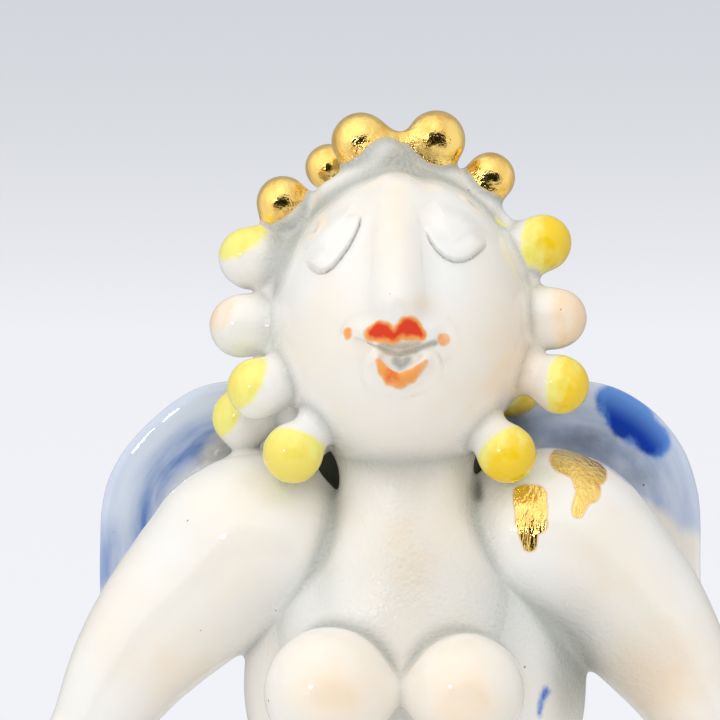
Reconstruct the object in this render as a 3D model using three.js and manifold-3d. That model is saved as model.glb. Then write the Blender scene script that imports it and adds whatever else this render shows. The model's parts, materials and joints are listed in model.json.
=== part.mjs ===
// A hand-built porcelain angel: a hollow bell gown carries a trunk, and every other piece is a clay form
// luted on with slip before the glaze firing. Sizes are in millimetres, angles in degrees.
// +Z is up, the floor is z = 0, the figure faces -Y, and "left" is the left of someone who looks at it.

import * as THREE from "three";
import { mergeVertices } from "three/addons/utils/BufferGeometryUtils.js";
import Module from "manifold-3d";

const wasm = await Module();
wasm.setup();

// Joints between the clay forms
const lutingGap = 0.3;
const cutOverrun = 2;
const ventRadius = 2.2;

// Facets round each kind of form
const headFacets = 28;
const bodyFacets = 26;
const armFacets = 20;
const ballFacets = 18;
const padFacets = 14;
const curlFacets = 12;
const wingFacets = 24;
const gownFacets = 48;
const gownRows = 7;

// Gown: a thrown bell, open underneath, with a fluted hem
const gownHeight = 84;
const waistHalfWidth = 19.6;
const waistHalfDepth = 15.2;
const hemRadius = 44;
const gownWall = 3.4;
const gownCrown = 4.5;
const fluteDepth = 1.5;
const fluteCount = 8;
const fluteStartShare = 0.3;

// Trunk: an egg cut flat at the waist
const trunkHalfWidth = 20.4;
const trunkHalfDepth = 15;
const trunkHalfHeight = 23.5;
const bustLineRise = 12;

// Neck and chest: one piece laid on the front of the trunk
const neckRadius = 7.2;
const neckRootRadius = 9.2;
const neckForward = 3.4;
const neckRise = 9.8;
const neckLength = 27;
const chestHalfWidth = 15.4;
const chestHalfDepth = 10.4;
const chestHalfHeight = 17;
const chestForward = 5.4;
const chestRise = 5;

// Bust: two clay balls, the left one a little larger
const leftBustRadius = 7.85;
const rightBustRadius = 7.15;
const leftBustSpread = 8.9;
const rightBustSpread = 7.6;
const bustForward = 16.9;
const bustRise = 0.6;

// Head: a skull that carries the hair mass, and the face in front of it
const headForward = 4.6;
const headTilt = 18;
const faceHalfWidth = 15.6;
const faceHalfDepth = 15.4;
const faceHalfHeight = 18.6;
const faceDrop = 0.5;
const skullHalfWidth = 17;
const skullHalfDepth = 16.4;
const skullHalfHeight = 19.8;
const skullLift = 1.9;
const faceSeamForward = 1.2;
const headHollowRadius = 8;

// Nose: a long ridge from the brow over the bridge to the tip
const noseBrowRise = 12.6;
const noseBridgeRise = 5;
const noseTipDrop = 3.1;
const noseBrowRadius = 2;
const noseBridgeRadius = 2.1;
const noseTipRadius = 2.5;
const noseSink = 0.9;
const noseTipReach = 0.35;

// Closed eyelids: two flat pads
const eyeSpacing = 15;
const eyeRise = 5.3;
const lidHalfWidth = 4.5;
const lidHalfHeight = 2.5;
const lidHalfThickness = 1.1;
const lidRoll = 36;

// Mouth: a pad of two lobes above a single one
const mouthDrop = 7.3;
const upperLipHalfWidth = 3.4;
const upperLipHalfHeight = 1.75;
const upperLipRoll = 20;
const lipBowSpacing = 4.8;
const lowerLipHalfWidth = 3.2;
const lowerLipHalfHeight = 1.5;
const lipHalfThickness = 1.1;
const lipSpacing = 4.1;
const featureShift = 0.8;

// Curls: clay drops, a ball on a short neck
const curlRadius = 3.75;
const curlNeckShare = 0.72;

// Arms: two tapered rolls each, bent at the elbow, the hand on the hip
const shoulderRadius = 12.4;
const shoulderSpacing = 42.4;
const shoulderRise = 18.2;
const shoulderForward = 1;
const elbowRadius = 5.9;
const elbowSpacing = 79;
const elbowDrop = 27;
const elbowForward = 3;
const forearmRadius = 5.3;
const wristRadius = 3.5;
const handHalfLength = 5.6;
const handHalfWidth = 3.6;
const handHalfThickness = 2.2;
const handDrop = 19.5;
const handTurn = 30;
const wristLift = 1.1;

// Wings: cupped petals behind the shoulders
const wingSpacing = 44;
const wingRise = 20.6;
const wingBack = 15;
const wingHalfWidth = 17;
const wingHalfHeight = 17.6;
const wingHalfThickness = 2.5;
const wingCup = 2.2;
const wingSweep = 1.6;
const wingTipReach = 5.4;
const wingTipTurn = -52;
const wingTipSpread = 26;
// The petal's section from its front to its back: how far out each ring lies, and how deep
const petalWidthShares = [0, 0.45, 0.78, 0.95, 1, 0.95, 0.78, 0.45, 0];
const petalDepthShares = [-1, -0.97, -0.8, -0.45, 0, 0.45, 0.8, 0.97, 1];

// Curls of the rim round the face. clock: turn from the top, clockwise from the front. back: turn behind
// the parting plane. reachShare: how far the ball's centre stands off the skull, in ball radii.
const rimCurlShares = [
  { name: "curl_gold_1", clock: -44.5, back: 0, reachShare: 0.5, sizeShare: 0.9, glaze: "gold" },
  { name: "curl_gold_2", clock: -24.5, back: 14, reachShare: 1.4, sizeShare: 0.76, glaze: "gold" },
  { name: "curl_gold_3", clock: -13, back: -8, reachShare: 0.51, sizeShare: 1.03, glaze: "gold" },
  { name: "curl_gold_4", clock: 10.7, back: -8, reachShare: 0.49, sizeShare: 1.03, glaze: "gold" },
  { name: "curl_gold_5", clock: 30.3, back: 0, reachShare: 0.36, sizeShare: 0.83, glaze: "gold" },
  { name: "curl_yellow_1", clock: 60.1, back: 0, reachShare: 0.55, sizeShare: 0.93, glaze: "yellow" },
  { name: "curl_peach_1", clock: 89.2, back: 0, reachShare: 0.6, sizeShare: 0.97, glaze: "peach" },
  { name: "curl_yellow_2", clock: 115.4, back: -2, reachShare: 1.25, sizeShare: 0.97, glaze: "yellow" },
  { name: "curl_yellow_3", clock: 145.1, back: -6, reachShare: 1.32, sizeShare: 0.97, glaze: "yellow" },
  { name: "curl_yellow_4", clock: -143.9, back: -6, reachShare: 1.38, sizeShare: 1, glaze: "yellow" },
  { name: "curl_yellow_5", clock: -118.2, back: -4, reachShare: 0.86, sizeShare: 1, glaze: "yellow" },
  { name: "curl_yellow_6", clock: -115.7, back: 22, reachShare: 1.55, sizeShare: 1.07, glaze: "yellow" },
  { name: "curl_peach_2", clock: -92.8, back: 4, reachShare: 0.82, sizeShare: 1.07, glaze: "peach" },
  { name: "curl_yellow_7", clock: -66.5, back: 4, reachShare: 0.76, sizeShare: 1.03, glaze: "yellow" },
];

// Rows of curls over the back of the skull, from the crown row to the one at its middle
const backCurlRowShares = [
  { back: 36, count: 8, firstClock: -98, lastClock: 112, sizeShare: 1.04, reachShare: 0.62 },
  { back: 62, count: 5, firstClock: -112, lastClock: 112, sizeShare: 1.06, reachShare: 0.6 },
  { back: 66, count: 1, firstClock: 180, lastClock: 180, sizeShare: 1, reachShare: 0.6 },
  { back: 90, count: 1, firstClock: 180, lastClock: 180, sizeShare: 1.08, reachShare: 0.6 },
];
// Gold up to this turn from the top, and peach up to this turn from the side
const goldTurn = 40;
const peachTurn = 12;

// Heights and places that follow from the sizes above
const bustLineHeight = gownHeight + bustLineRise;
const shoulderHeight = bustLineHeight + shoulderRise;
const neckRootHeight = bustLineHeight + neckRise;
const neckTopHeight = neckRootHeight + neckLength;
const headHeight = neckTopHeight + faceHalfHeight / 2;

const point = (x, y, z) => new THREE.Vector3(x, y, z);
const radians = THREE.MathUtils.degToRad;

// A closed mesh as a manifold-3d solid that faces outwards.
function solidOf(geometry) {
  const bare = geometry.clone();
  bare.deleteAttribute("normal");
  bare.deleteAttribute("uv");
  const merged = mergeVertices(bare);
  const corners = [];
  for (let i = 0; i < merged.index.count; i += 3) {
    const [a, b, c] = [0, 1, 2].map((k) => merged.index.getX(i + k));
    if (a !== b && b !== c && c !== a) corners.push(a, b, c);
  }
  const build = (triVerts) =>
    new wasm.Manifold(
      new wasm.Mesh({
        numProp: 3,
        vertProperties: new Float32Array(merged.attributes.position.array),
        triVerts: new Uint32Array(triVerts),
      }),
    );
  const solid = build(corners);
  return solid.volume() > 0 ? solid : build(corners.reverse());
}

// A skin over rings of points. A ring of one point closes an end; loop joins the last ring to the first.
function skin(rings, loop = false) {
  const starts = [];
  const positions = [];
  for (const ring of rings) {
    starts.push(positions.length / 3);
    for (const p of ring) positions.push(p.x, p.y, p.z);
  }
  const indices = [];
  const bands = loop ? rings.length : rings.length - 1;
  for (let band = 0; band < bands; band += 1) {
    const next = (band + 1) % rings.length;
    const count = Math.max(rings[band].length, rings[next].length);
    const near = (k) => starts[band] + (k % rings[band].length);
    const far = (k) => starts[next] + (k % rings[next].length);
    for (let k = 0; k < count; k += 1) {
      indices.push(near(k), near(k + 1), far(k + 1));
      indices.push(near(k), far(k + 1), far(k));
    }
  }
  const geometry = new THREE.BufferGeometry();
  geometry.setAttribute("position", new THREE.Float32BufferAttribute(positions, 3));
  geometry.setIndex(indices);
  return solidOf(geometry);
}

// An egg-shaped solid: a unit sphere stretched to its half sizes, turned and put in place.
function egg(centre, halfSizes, turn, facets) {
  const sphere = new THREE.SphereGeometry(1, facets, Math.round(facets / 2) + 1);
  sphere.rotateX(Math.PI / 2);
  return solidOf(sphere.applyMatrix4(new THREE.Matrix4().compose(centre, turn, halfSizes)));
}

// A tapered roll of clay with round ends, from one ball to another.
function roll(from, to, fromRadius, toRadius, facets) {
  const arcSteps = Math.round(facets / 4);
  const along = to.clone().sub(from);
  const length = along.length();
  const tangent = Math.asin((fromRadius - toRadius) / length);
  const profile = [];
  const addArc = (rise, radius, start, end) => {
    for (let k = 0; k <= arcSteps; k += 1) {
      const angle = start + ((end - start) * k) / arcSteps;
      const across = Math.max(radius * Math.cos(angle), 0);
      profile.push(new THREE.Vector2(across, rise + radius * Math.sin(angle)));
    }
  };
  addArc(0, fromRadius, -Math.PI / 2, tangent);
  addArc(length, toRadius, tangent, Math.PI / 2);
  profile[0].x = 0;
  profile[profile.length - 1].x = 0;
  const lathe = new THREE.LatheGeometry(profile, facets);
  const turn = new THREE.Quaternion().setFromUnitVectors(point(0, 1, 0), along.normalize());
  return solidOf(lathe.applyMatrix4(new THREE.Matrix4().compose(from, turn, point(1, 1, 1))));
}

// A box between two corners.
function block(low, high) {
  const size = high.clone().sub(low);
  const box = new THREE.BoxGeometry(size.x, size.y, size.z);
  return solidOf(box.translate((low.x + high.x) / 2, (low.y + high.y) / 2, (low.z + high.z) / 2));
}

// An upright firing vent.
function vent(place, bottom, top) {
  const tube = new THREE.CylinderGeometry(ventRadius, ventRadius, top - bottom, curlFacets);
  tube.rotateX(Math.PI / 2);
  return solidOf(tube.translate(place.x, place.y, (top + bottom) / 2));
}

// Gown
// share runs from 0 at the waist to 1 at the hem.
function gownPoint(angle, share, inset) {
  const flare = share * (2 - share);
  const start = Math.max(share - fluteStartShare, 0) / (1 - fluteStartShare);
  const flute = fluteDepth * start * start * Math.cos(fluteCount * angle);
  const across = waistHalfWidth + (hemRadius - waistHalfWidth) * flare + flute - inset;
  const deep = waistHalfDepth + (hemRadius - waistHalfDepth) * flare + flute - inset;
  return point(across * Math.cos(angle), -deep * Math.sin(angle), gownHeight * (1 - share));
}

function gownRing(share, inset) {
  const step = (2 * Math.PI) / gownFacets;
  return Array.from({ length: gownFacets }, (_, k) => gownPoint(step * k, share, inset));
}

function ventRing(height) {
  return Array.from({ length: gownFacets }, (_, k) => {
    const angle = (2 * Math.PI * k) / gownFacets;
    return point(ventRadius * Math.cos(angle), -ventRadius * Math.sin(angle), height);
  });
}

function gownShell() {
  const crownShare = gownCrown / gownHeight;
  const rings = [];
  for (let row = 0; row <= gownRows; row += 1) rings.push(gownRing(1 - row / gownRows, 0));
  rings.push(ventRing(gownHeight));
  rings.push(ventRing(gownHeight - gownCrown));
  for (let row = 0; row <= gownRows; row += 1) {
    rings.push(gownRing(crownShare + ((1 - crownShare) * row) / gownRows, gownWall));
  }
  return skin(rings, true);
}

// The gown as a plain core, to cut what rests on its outside.
function gownCore(grow) {
  const rings = [[point(0, 0, 0)]];
  for (let row = 0; row <= gownRows; row += 1) rings.push(gownRing(1 - row / gownRows, -grow));
  rings.push([point(0, 0, gownHeight)]);
  return skin(rings);
}

// Trunk, neck, chest and bust
const upright = new THREE.Quaternion();

const trunkForm = (grow) =>
  egg(
    point(0, 0, bustLineHeight),
    point(trunkHalfWidth + grow, trunkHalfDepth + grow, trunkHalfHeight + grow),
    upright,
    headFacets,
  );

const neckTop = point(0, -neckForward, neckTopHeight);
const neckRoot = point(0, -chestForward, neckRootHeight);
const chestCentre = point(0, -chestForward, bustLineHeight + chestRise);

function neckForm(grow) {
  const chestHalfSizes = point(chestHalfWidth + grow, chestHalfDepth + grow, chestHalfHeight + grow);
  const chest = egg(chestCentre, chestHalfSizes, upright, armFacets);
  return chest.add(roll(neckRoot, neckTop, neckRootRadius + grow, neckRadius + grow, armFacets));
}

function bustForm(side, grow) {
  const spread = side < 0 ? leftBustSpread : rightBustSpread;
  const radius = (side < 0 ? leftBustRadius : rightBustRadius) + grow;
  const centre = point(side * spread, -bustForward, bustLineHeight + bustRise);
  return egg(centre, point(radius, radius, radius), upright, ballFacets);
}

// Head. Places on it are given across, out of the face and up, in the tilted head's own frame.
const headCentre = point(0, -headForward, headHeight);
const headTurn = new THREE.Quaternion().setFromAxisAngle(point(1, 0, 0), -radians(headTilt));
const headPoint = (across, out, up) => point(across, -out, up).applyQuaternion(headTurn).add(headCentre);

const faceForm = (grow) =>
  egg(
    headPoint(0, 0, -faceDrop),
    point(faceHalfWidth + grow, faceHalfDepth + grow, faceHalfHeight + grow),
    headTurn,
    headFacets,
  );

const skullForm = (grow) =>
  egg(
    headPoint(0, 0, skullLift),
    point(skullHalfWidth + grow, skullHalfDepth + grow, skullHalfHeight + grow),
    headTurn,
    bodyFacets,
  );

// The half space in front of the seam between the face and the skull, moved back by shift.
function frontHalf(shift) {
  const reach = skullHalfWidth + skullHalfDepth + skullHalfHeight;
  const box = block(point(-reach, -reach, -reach), point(reach, shift - faceSeamForward, reach));
  return box.transform(new THREE.Matrix4().compose(headCentre, headTurn, point(1, 1, 1)).toArray());
}

// How far out of the head's middle plane the face's surface lies.
function faceDepth(across, up) {
  const left = 1 - (across / faceHalfWidth) ** 2 - ((up + faceDrop) / faceHalfHeight) ** 2;
  return faceHalfDepth * Math.sqrt(Math.max(left, 0));
}

// The turn that lays a pad's thickness along the face's normal at a place, rolled about it.
function padTurn(across, up, roll) {
  const normal = point(
    across / faceHalfWidth ** 2,
    -faceDepth(across, up) / faceHalfDepth ** 2,
    (up + faceDrop) / faceHalfHeight ** 2,
  ).normalize();
  const lay = new THREE.Quaternion().setFromUnitVectors(point(0, -1, 0), normal);
  const spin = new THREE.Quaternion().setFromAxisAngle(point(0, 1, 0), radians(roll));
  return headTurn.clone().multiply(lay).multiply(spin);
}

function pad(across, up, halfWidth, halfHeight, halfThickness, roll = 0) {
  const place = headPoint(across, faceDepth(across, up), up);
  return egg(place, point(halfWidth, halfThickness, halfHeight), padTurn(across, up, roll), padFacets);
}

// A place on the nose's ridge line, raised out of the face.
const ridgePoint = (up, raise) => headPoint(-featureShift, faceDepth(featureShift, up) + raise, up);

function noseForm(grow) {
  const brow = ridgePoint(noseBrowRise, -noseSink);
  const bridge = ridgePoint(noseBridgeRise, 0);
  const tip = ridgePoint(-noseTipDrop, noseTipReach);
  const upper = roll(brow, bridge, noseBrowRadius + grow, noseBridgeRadius + grow, curlFacets);
  return upper.add(roll(bridge, tip, noseBridgeRadius + grow, noseTipRadius + grow, curlFacets));
}

const lidForm = (side) =>
  pad(
    (side * eyeSpacing) / 2 - featureShift,
    eyeRise,
    lidHalfWidth,
    lidHalfHeight,
    lidHalfThickness,
    side * lidRoll,
  );

function upperLipForm() {
  const lobe = (side) =>
    pad(
      (side * lipBowSpacing) / 2 - featureShift,
      -mouthDrop,
      upperLipHalfWidth,
      upperLipHalfHeight,
      lipHalfThickness,
      -side * upperLipRoll,
    );
  return lobe(-1).add(lobe(1));
}

const lowerLipForm = () =>
  pad(-featureShift, -mouthDrop - lipSpacing, lowerLipHalfWidth, lowerLipHalfHeight, lipHalfThickness);

// Curls
// The distance from the head's centre to the skull's surface along a unit direction.
function skullReach(across, out, up) {
  const a = (across / skullHalfWidth) ** 2 + (out / skullHalfDepth) ** 2 + (up / skullHalfHeight) ** 2;
  const b = (-2 * up * skullLift) / skullHalfHeight ** 2;
  const c = (skullLift / skullHalfHeight) ** 2 - 1;
  return (-b + Math.sqrt(b * b - 4 * a * c)) / (2 * a);
}

function curlForm({ clock, back, reachShare, sizeShare }, grow) {
  const across = Math.sin(radians(clock)) * Math.cos(radians(back));
  const up = Math.cos(radians(clock)) * Math.cos(radians(back));
  const out = -Math.sin(radians(back));
  const radius = curlRadius * sizeShare;
  const seat = skullReach(across, out, up);
  const root = seat - radius * curlNeckShare;
  const centre = seat + radius * reachShare;
  return roll(
    headPoint(across * root, out * root, up * root),
    headPoint(across * centre, out * centre, up * centre),
    radius * curlNeckShare + grow,
    radius + grow,
    curlFacets,
  );
}

function backGlaze(clock) {
  if (Math.abs(clock) < goldTurn) return "gold";
  return Math.abs(Math.cos(radians(clock))) < Math.sin(radians(peachTurn)) ? "peach" : "yellow";
}

function backCurls() {
  const list = [];
  for (const { back, count, firstClock, lastClock, sizeShare, reachShare } of backCurlRowShares) {
    for (let k = 0; k < count; k += 1) {
      const clock = count > 1 ? firstClock + ((lastClock - firstClock) * k) / (count - 1) : firstClock;
      const name = `curl_back_${list.length + 1}`;
      list.push({ name, clock, back, reachShare, sizeShare, glaze: backGlaze(clock) });
    }
  }
  return list;
}

// Arms. side is -1 on the left and 1 on the right.
const shoulderPoint = (side) => point((side * shoulderSpacing) / 2, -shoulderForward, shoulderHeight);
const elbowPoint = (side) => point((side * elbowSpacing) / 2, -elbowForward, shoulderHeight - elbowDrop);

// The place on the gown where the hand rests, with the directions down the gown and out of it.
function hip(side) {
  const share = handDrop / gownHeight;
  const step = handHalfLength / gownHeight;
  const angle = side > 0 ? radians(handTurn) : Math.PI - radians(handTurn);
  const swing = handHalfWidth / hemRadius;
  const down = gownPoint(angle, share + step, 0).sub(gownPoint(angle, share - step, 0)).normalize();
  const along = gownPoint(angle + swing, share, 0).sub(gownPoint(angle - swing, share, 0));
  const outward = new THREE.Vector3().crossVectors(along, down).normalize();
  return { place: gownPoint(angle, share, 0), down, outward };
}

function handPose(side) {
  const { place, down, outward } = hip(side);
  const centre = place.clone().addScaledVector(outward, handHalfThickness);
  const across = new THREE.Vector3().crossVectors(outward, down);
  const basis = new THREE.Matrix4().makeBasis(across, outward, down);
  const turn = new THREE.Quaternion().setFromRotationMatrix(basis);
  const wrist = centre.clone().addScaledVector(down, -handHalfLength).addScaledVector(outward, wristLift);
  return { centre, turn, wrist };
}

const upperArmForm = (side, grow) =>
  roll(shoulderPoint(side), elbowPoint(side), shoulderRadius + grow, elbowRadius + grow, armFacets);

const forearmForm = (side, grow) =>
  roll(elbowPoint(side), handPose(side).wrist, forearmRadius + grow, wristRadius + grow, ballFacets);

function handForm(side) {
  const { centre, turn } = handPose(side);
  return egg(centre, point(handHalfWidth, handHalfThickness, handHalfLength), turn, padFacets);
}

// Wings
// The petal's outline round its centre, with turn 0 straight outwards and 90 up.
function wingOutline(turn) {
  const oval =
    (wingHalfWidth * wingHalfHeight) /
    Math.hypot(wingHalfHeight * Math.cos(turn), wingHalfWidth * Math.sin(turn));
  const away = Math.atan2(Math.sin(turn - radians(wingTipTurn)), Math.cos(turn - radians(wingTipTurn)));
  return oval + wingTipReach * Math.exp(-((away / radians(wingTipSpread)) ** 2));
}

function wingForm(side) {
  const rings = petalWidthShares.map((share, row) => {
    const count = share === 0 ? 1 : wingFacets;
    return Array.from({ length: count }, (_, k) => {
      const turn = (2 * Math.PI * k) / wingFacets;
      const reach = wingOutline(turn) * share;
      const out = reach * Math.cos(turn);
      const bend = wingSweep * (out / wingHalfWidth) - wingCup * share * share;
      return point(
        side * (wingSpacing / 2 + out),
        wingBack + bend + wingHalfThickness * petalDepthShares[row],
        bustLineHeight + wingRise + reach * Math.sin(turn),
      );
    });
  });
  return skin(rings);
}

// Glazes: one material for each finish, copied for each piece
const glazes = {
  porcelain: { color: 0xf2efe9, roughness: 0.12, metalness: 0 },
  blush: { color: 0xf5e6dc, roughness: 0.12, metalness: 0 },
  gold: { color: 0xe6b23c, roughness: 0.18, metalness: 1 },
  yellow: { color: 0xf3dc4a, roughness: 0.12, metalness: 0 },
  peach: { color: 0xf6dccb, roughness: 0.12, metalness: 0 },
  cobalt: { color: 0xa9c0ea, roughness: 0.12, metalness: 0 },
  coral: { color: 0xe8622f, roughness: 0.15, metalness: 0 },
};

// Assembly
const angel = new THREE.Group();
const body = new THREE.Group();
const head = new THREE.Group();
head.position.copy(headCentre);
head.quaternion.copy(headTurn);
angel.add(body, head);
angel.updateMatrixWorld(true);

// Adds a solid as a mesh of the group, with its geometry round its own middle and its place in position.
function addPiece(group, name, solid, glaze) {
  const { vertProperties, triVerts, numProp } = solid.getMesh();
  const positions = [];
  for (let i = 0; i < vertProperties.length; i += numProp) {
    positions.push(...vertProperties.slice(i, i + 3));
  }
  const geometry = new THREE.BufferGeometry();
  geometry.setAttribute("position", new THREE.Float32BufferAttribute(positions, 3));
  geometry.setIndex(Array.from(triVerts));
  geometry.applyMatrix4(group.matrixWorld.clone().invert());
  geometry.computeBoundingBox();
  const middle = geometry.boundingBox.getCenter(new THREE.Vector3());
  geometry.translate(-middle.x, -middle.y, -middle.z);
  const faceted = geometry.toNonIndexed();
  faceted.computeVertexNormals();
  const mesh = new THREE.Mesh(faceted, new THREE.MeshStandardMaterial(glazes[glaze]));
  mesh.name = name;
  mesh.position.copy(middle);
  group.add(mesh);
}

// Cuts a form back from its neighbours, so that each joint keeps its luting gap, and keeps its main body.
function seated(form, ...neighbours) {
  const cut = neighbours.reduce((left, neighbour) => left.subtract(neighbour), form);
  return cut.decompose().reduce((most, part) => (part.volume() > most.volume() ? part : most));
}

const trunk = trunkForm(lutingGap);
const neck = neckForm(lutingGap);
const face = faceForm(lutingGap);
const skull = skullForm(lutingGap);
const hollowHalfSizes = point(headHollowRadius, headHollowRadius, headHollowRadius);
const hollow = egg(headCentre, hollowHalfSizes, upright, padFacets);
const belowWaist = block(
  point(-hemRadius, -hemRadius, bustLineHeight - trunkHalfHeight - cutOverrun),
  point(hemRadius, hemRadius, gownHeight + lutingGap),
);
const trunkTop = bustLineHeight + trunkHalfHeight;
const bodyVent = vent(point(0, 0, 0), gownHeight - cutOverrun, trunkTop + cutOverrun);
const neckVent = vent(neckTop, bustLineHeight, headHeight);

addPiece(body, "gown", gownShell(), "porcelain");
addPiece(body, "trunk", seated(trunkForm(0), belowWaist, bodyVent, neckVent), "porcelain");
addPiece(body, "neck_and_chest", seated(neckForm(0), trunk, face, skull, neckVent), "blush");
addPiece(body, "bust_left", seated(bustForm(-1, 0), trunk, neck), "blush");
addPiece(body, "bust_right", seated(bustForm(1, 0), trunk, neck, bustForm(-1, lutingGap)), "blush");

addPiece(head, "face", seated(faceForm(0).intersect(frontHalf(0)), hollow, neckVent), "blush");
addPiece(head, "skull", seated(skullForm(0), frontHalf(lutingGap), hollow, neckVent), "porcelain");
addPiece(head, "nose", seated(noseForm(0), face), "blush");
addPiece(head, "eyelid_left", seated(lidForm(-1), face), "blush");
addPiece(head, "eyelid_right", seated(lidForm(1), face), "blush");
addPiece(head, "upper_lip", seated(upperLipForm(), face, noseForm(lutingGap)), "coral");
addPiece(head, "lower_lip", seated(lowerLipForm(), face), "coral");

// Each curl gives way to the head and to the curls before it.
const curls = [];
for (const curl of [...rimCurlShares, ...backCurls()]) {
  addPiece(head, curl.name, seated(curlForm(curl, 0), skull, face, neck, ...curls), curl.glaze);
  curls.push(curlForm(curl, lutingGap));
}

// The low curls press into the shoulders and the wings.
for (const side of [-1, 1]) {
  const word = side < 0 ? "left" : "right";
  const gown = gownCore(lutingGap);
  const upperArm = upperArmForm(side, lutingGap);
  const forearm = forearmForm(side, lutingGap);
  const wing = seated(wingForm(side), trunk, neck, skull, upperArm, ...curls);
  addPiece(body, `upper_arm_${word}`, seated(upperArmForm(side, 0), trunk, neck, ...curls), "blush");
  addPiece(body, `forearm_${word}`, seated(forearmForm(side, 0), upperArm, gown, trunk), "blush");
  addPiece(body, `hand_${word}`, seated(handForm(side), forearm, gown), "blush");
  addPiece(body, `wing_${word}`, wing, "cobalt");
}

export default angel;
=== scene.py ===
# %% [markdown]
# # A hand-built porcelain angel
# The real figurine is one fired piece, put together from soft clay forms: balls, rolls, eggs and petals,
# luted on with slip and then drowned in a clear glaze that rounds every joint. This lesson makes it in the
# same order. The clay forms are distance fields, melted into each other as glaze melts them, and the brush
# colours are painted on afterwards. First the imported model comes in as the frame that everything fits.

# %% Load the frame
import json
import math
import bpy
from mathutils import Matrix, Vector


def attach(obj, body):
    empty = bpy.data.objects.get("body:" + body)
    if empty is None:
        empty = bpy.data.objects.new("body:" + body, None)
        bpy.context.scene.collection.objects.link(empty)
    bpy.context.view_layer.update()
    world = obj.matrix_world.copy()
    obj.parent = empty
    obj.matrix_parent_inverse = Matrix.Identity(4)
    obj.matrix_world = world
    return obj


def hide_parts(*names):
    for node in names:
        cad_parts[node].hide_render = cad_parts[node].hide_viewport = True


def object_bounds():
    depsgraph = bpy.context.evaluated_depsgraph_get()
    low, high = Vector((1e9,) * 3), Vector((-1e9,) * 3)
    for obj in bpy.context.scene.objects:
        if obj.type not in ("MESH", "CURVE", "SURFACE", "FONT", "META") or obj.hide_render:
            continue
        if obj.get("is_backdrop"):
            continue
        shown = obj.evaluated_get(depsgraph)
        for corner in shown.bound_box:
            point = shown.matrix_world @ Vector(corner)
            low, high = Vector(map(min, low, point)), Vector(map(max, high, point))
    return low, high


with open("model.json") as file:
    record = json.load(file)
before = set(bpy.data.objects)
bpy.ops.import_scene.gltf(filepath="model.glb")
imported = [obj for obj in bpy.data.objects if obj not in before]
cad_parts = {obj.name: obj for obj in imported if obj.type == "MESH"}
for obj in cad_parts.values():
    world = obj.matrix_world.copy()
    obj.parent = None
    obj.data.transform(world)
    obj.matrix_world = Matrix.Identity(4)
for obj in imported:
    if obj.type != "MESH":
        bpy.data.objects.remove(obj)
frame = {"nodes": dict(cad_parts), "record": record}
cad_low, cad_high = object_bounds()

from concurrent.futures import ThreadPoolExecutor

import bpy
import numpy as np
import openvdb

slots = {part["node"]: part["material_slot"] for part in frame["record"]["subparts"]}
print("CAD nodes", len(frame["nodes"]), "box in mm", [round(1000 * x, 1) for x in cad_high - cad_low])

# %% [markdown]
# ## Measuring clay
# A distance field says, for any point in space, how far it is from a surface: negative inside, positive
# outside. Mesh tools could push vertices about instead, but two meshes that touch leave a knife-sharp seam,
# while two distances blend with one line of algebra. All lengths in the fields are millimetres.

# %% Distance to a ball of clay and to a tapered roll
TINY = 1e-6


def length_of(rows):
    return np.sqrt(np.einsum("ij,ij->i", rows, rows))


def egg(points, centre, half_sizes, turn=None):
    local = points - np.asarray(centre, points.dtype)
    if turn is not None:
        local = local @ np.asarray(turn, points.dtype)
    half = np.asarray(half_sizes, points.dtype)
    near = length_of(local / half)
    steep = length_of(local / half**2)
    return near * (near - 1) / np.maximum(steep, TINY)


def roll(points, start, end, start_radius, end_radius):
    first = np.asarray(start, points.dtype)
    span = np.asarray(end, points.dtype) - first
    length = float(np.linalg.norm(span))
    local = points - first
    along = local @ (span / length)
    across = np.sqrt(np.maximum(np.einsum("ij,ij->i", local, local) - along**2, 0))
    sine = (start_radius - end_radius) / length
    cosine = math.sqrt(1 - sine**2)
    place = along * cosine - across * sine
    side = across * cosine + along * sine - start_radius
    side = np.where(place < 0, np.hypot(across, along) - start_radius, side)
    return np.where(place > cosine * length, np.hypot(across, along - length) - end_radius, side)


sample = np.array([[0, 0, 5.0]])
print("5 mm from the middle of a 3 mm ball is", egg(sample, (0, 0, 0), (3, 3, 3)).round(2), "mm out")

# %% [markdown]
# ## Melting forms together
# Where two forms meet, slip and glaze fill the corner with a small fillet. A plain minimum of two distances
# joins them with a sharp crease; this smooth minimum fills the crease over a width that is given in
# millimetres. The same trick with the signs turned round cuts one form with a rounded edge.

# %% Smooth joint and smooth cut
def fuse(a, b, fillet):
    near = np.maximum(fillet - np.abs(a - b), 0) / fillet
    return np.minimum(a, b) - near * near * fillet / 4


def trim(a, b, fillet):
    return -fuse(-a, -b, fillet)


def ease(value, low, high):
    share = np.clip((value - low) / (high - low), 0, 1)
    return share * share * (3 - 2 * share)


print("two surfaces that touch, with a 2 mm fillet, gain", -fuse(0.0, 0.0, 2.0), "mm of clay")

# %% [markdown]
# ## The body
# The trunk is an egg, the neck and chest one flat piece laid on it, and the bust two balls. The upper arms
# are fat tapered rolls that bulge outwards in one smooth bend. Each form sits in the place of its CAD node,
# with the small shifts that the photograph's outline shows.

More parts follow.
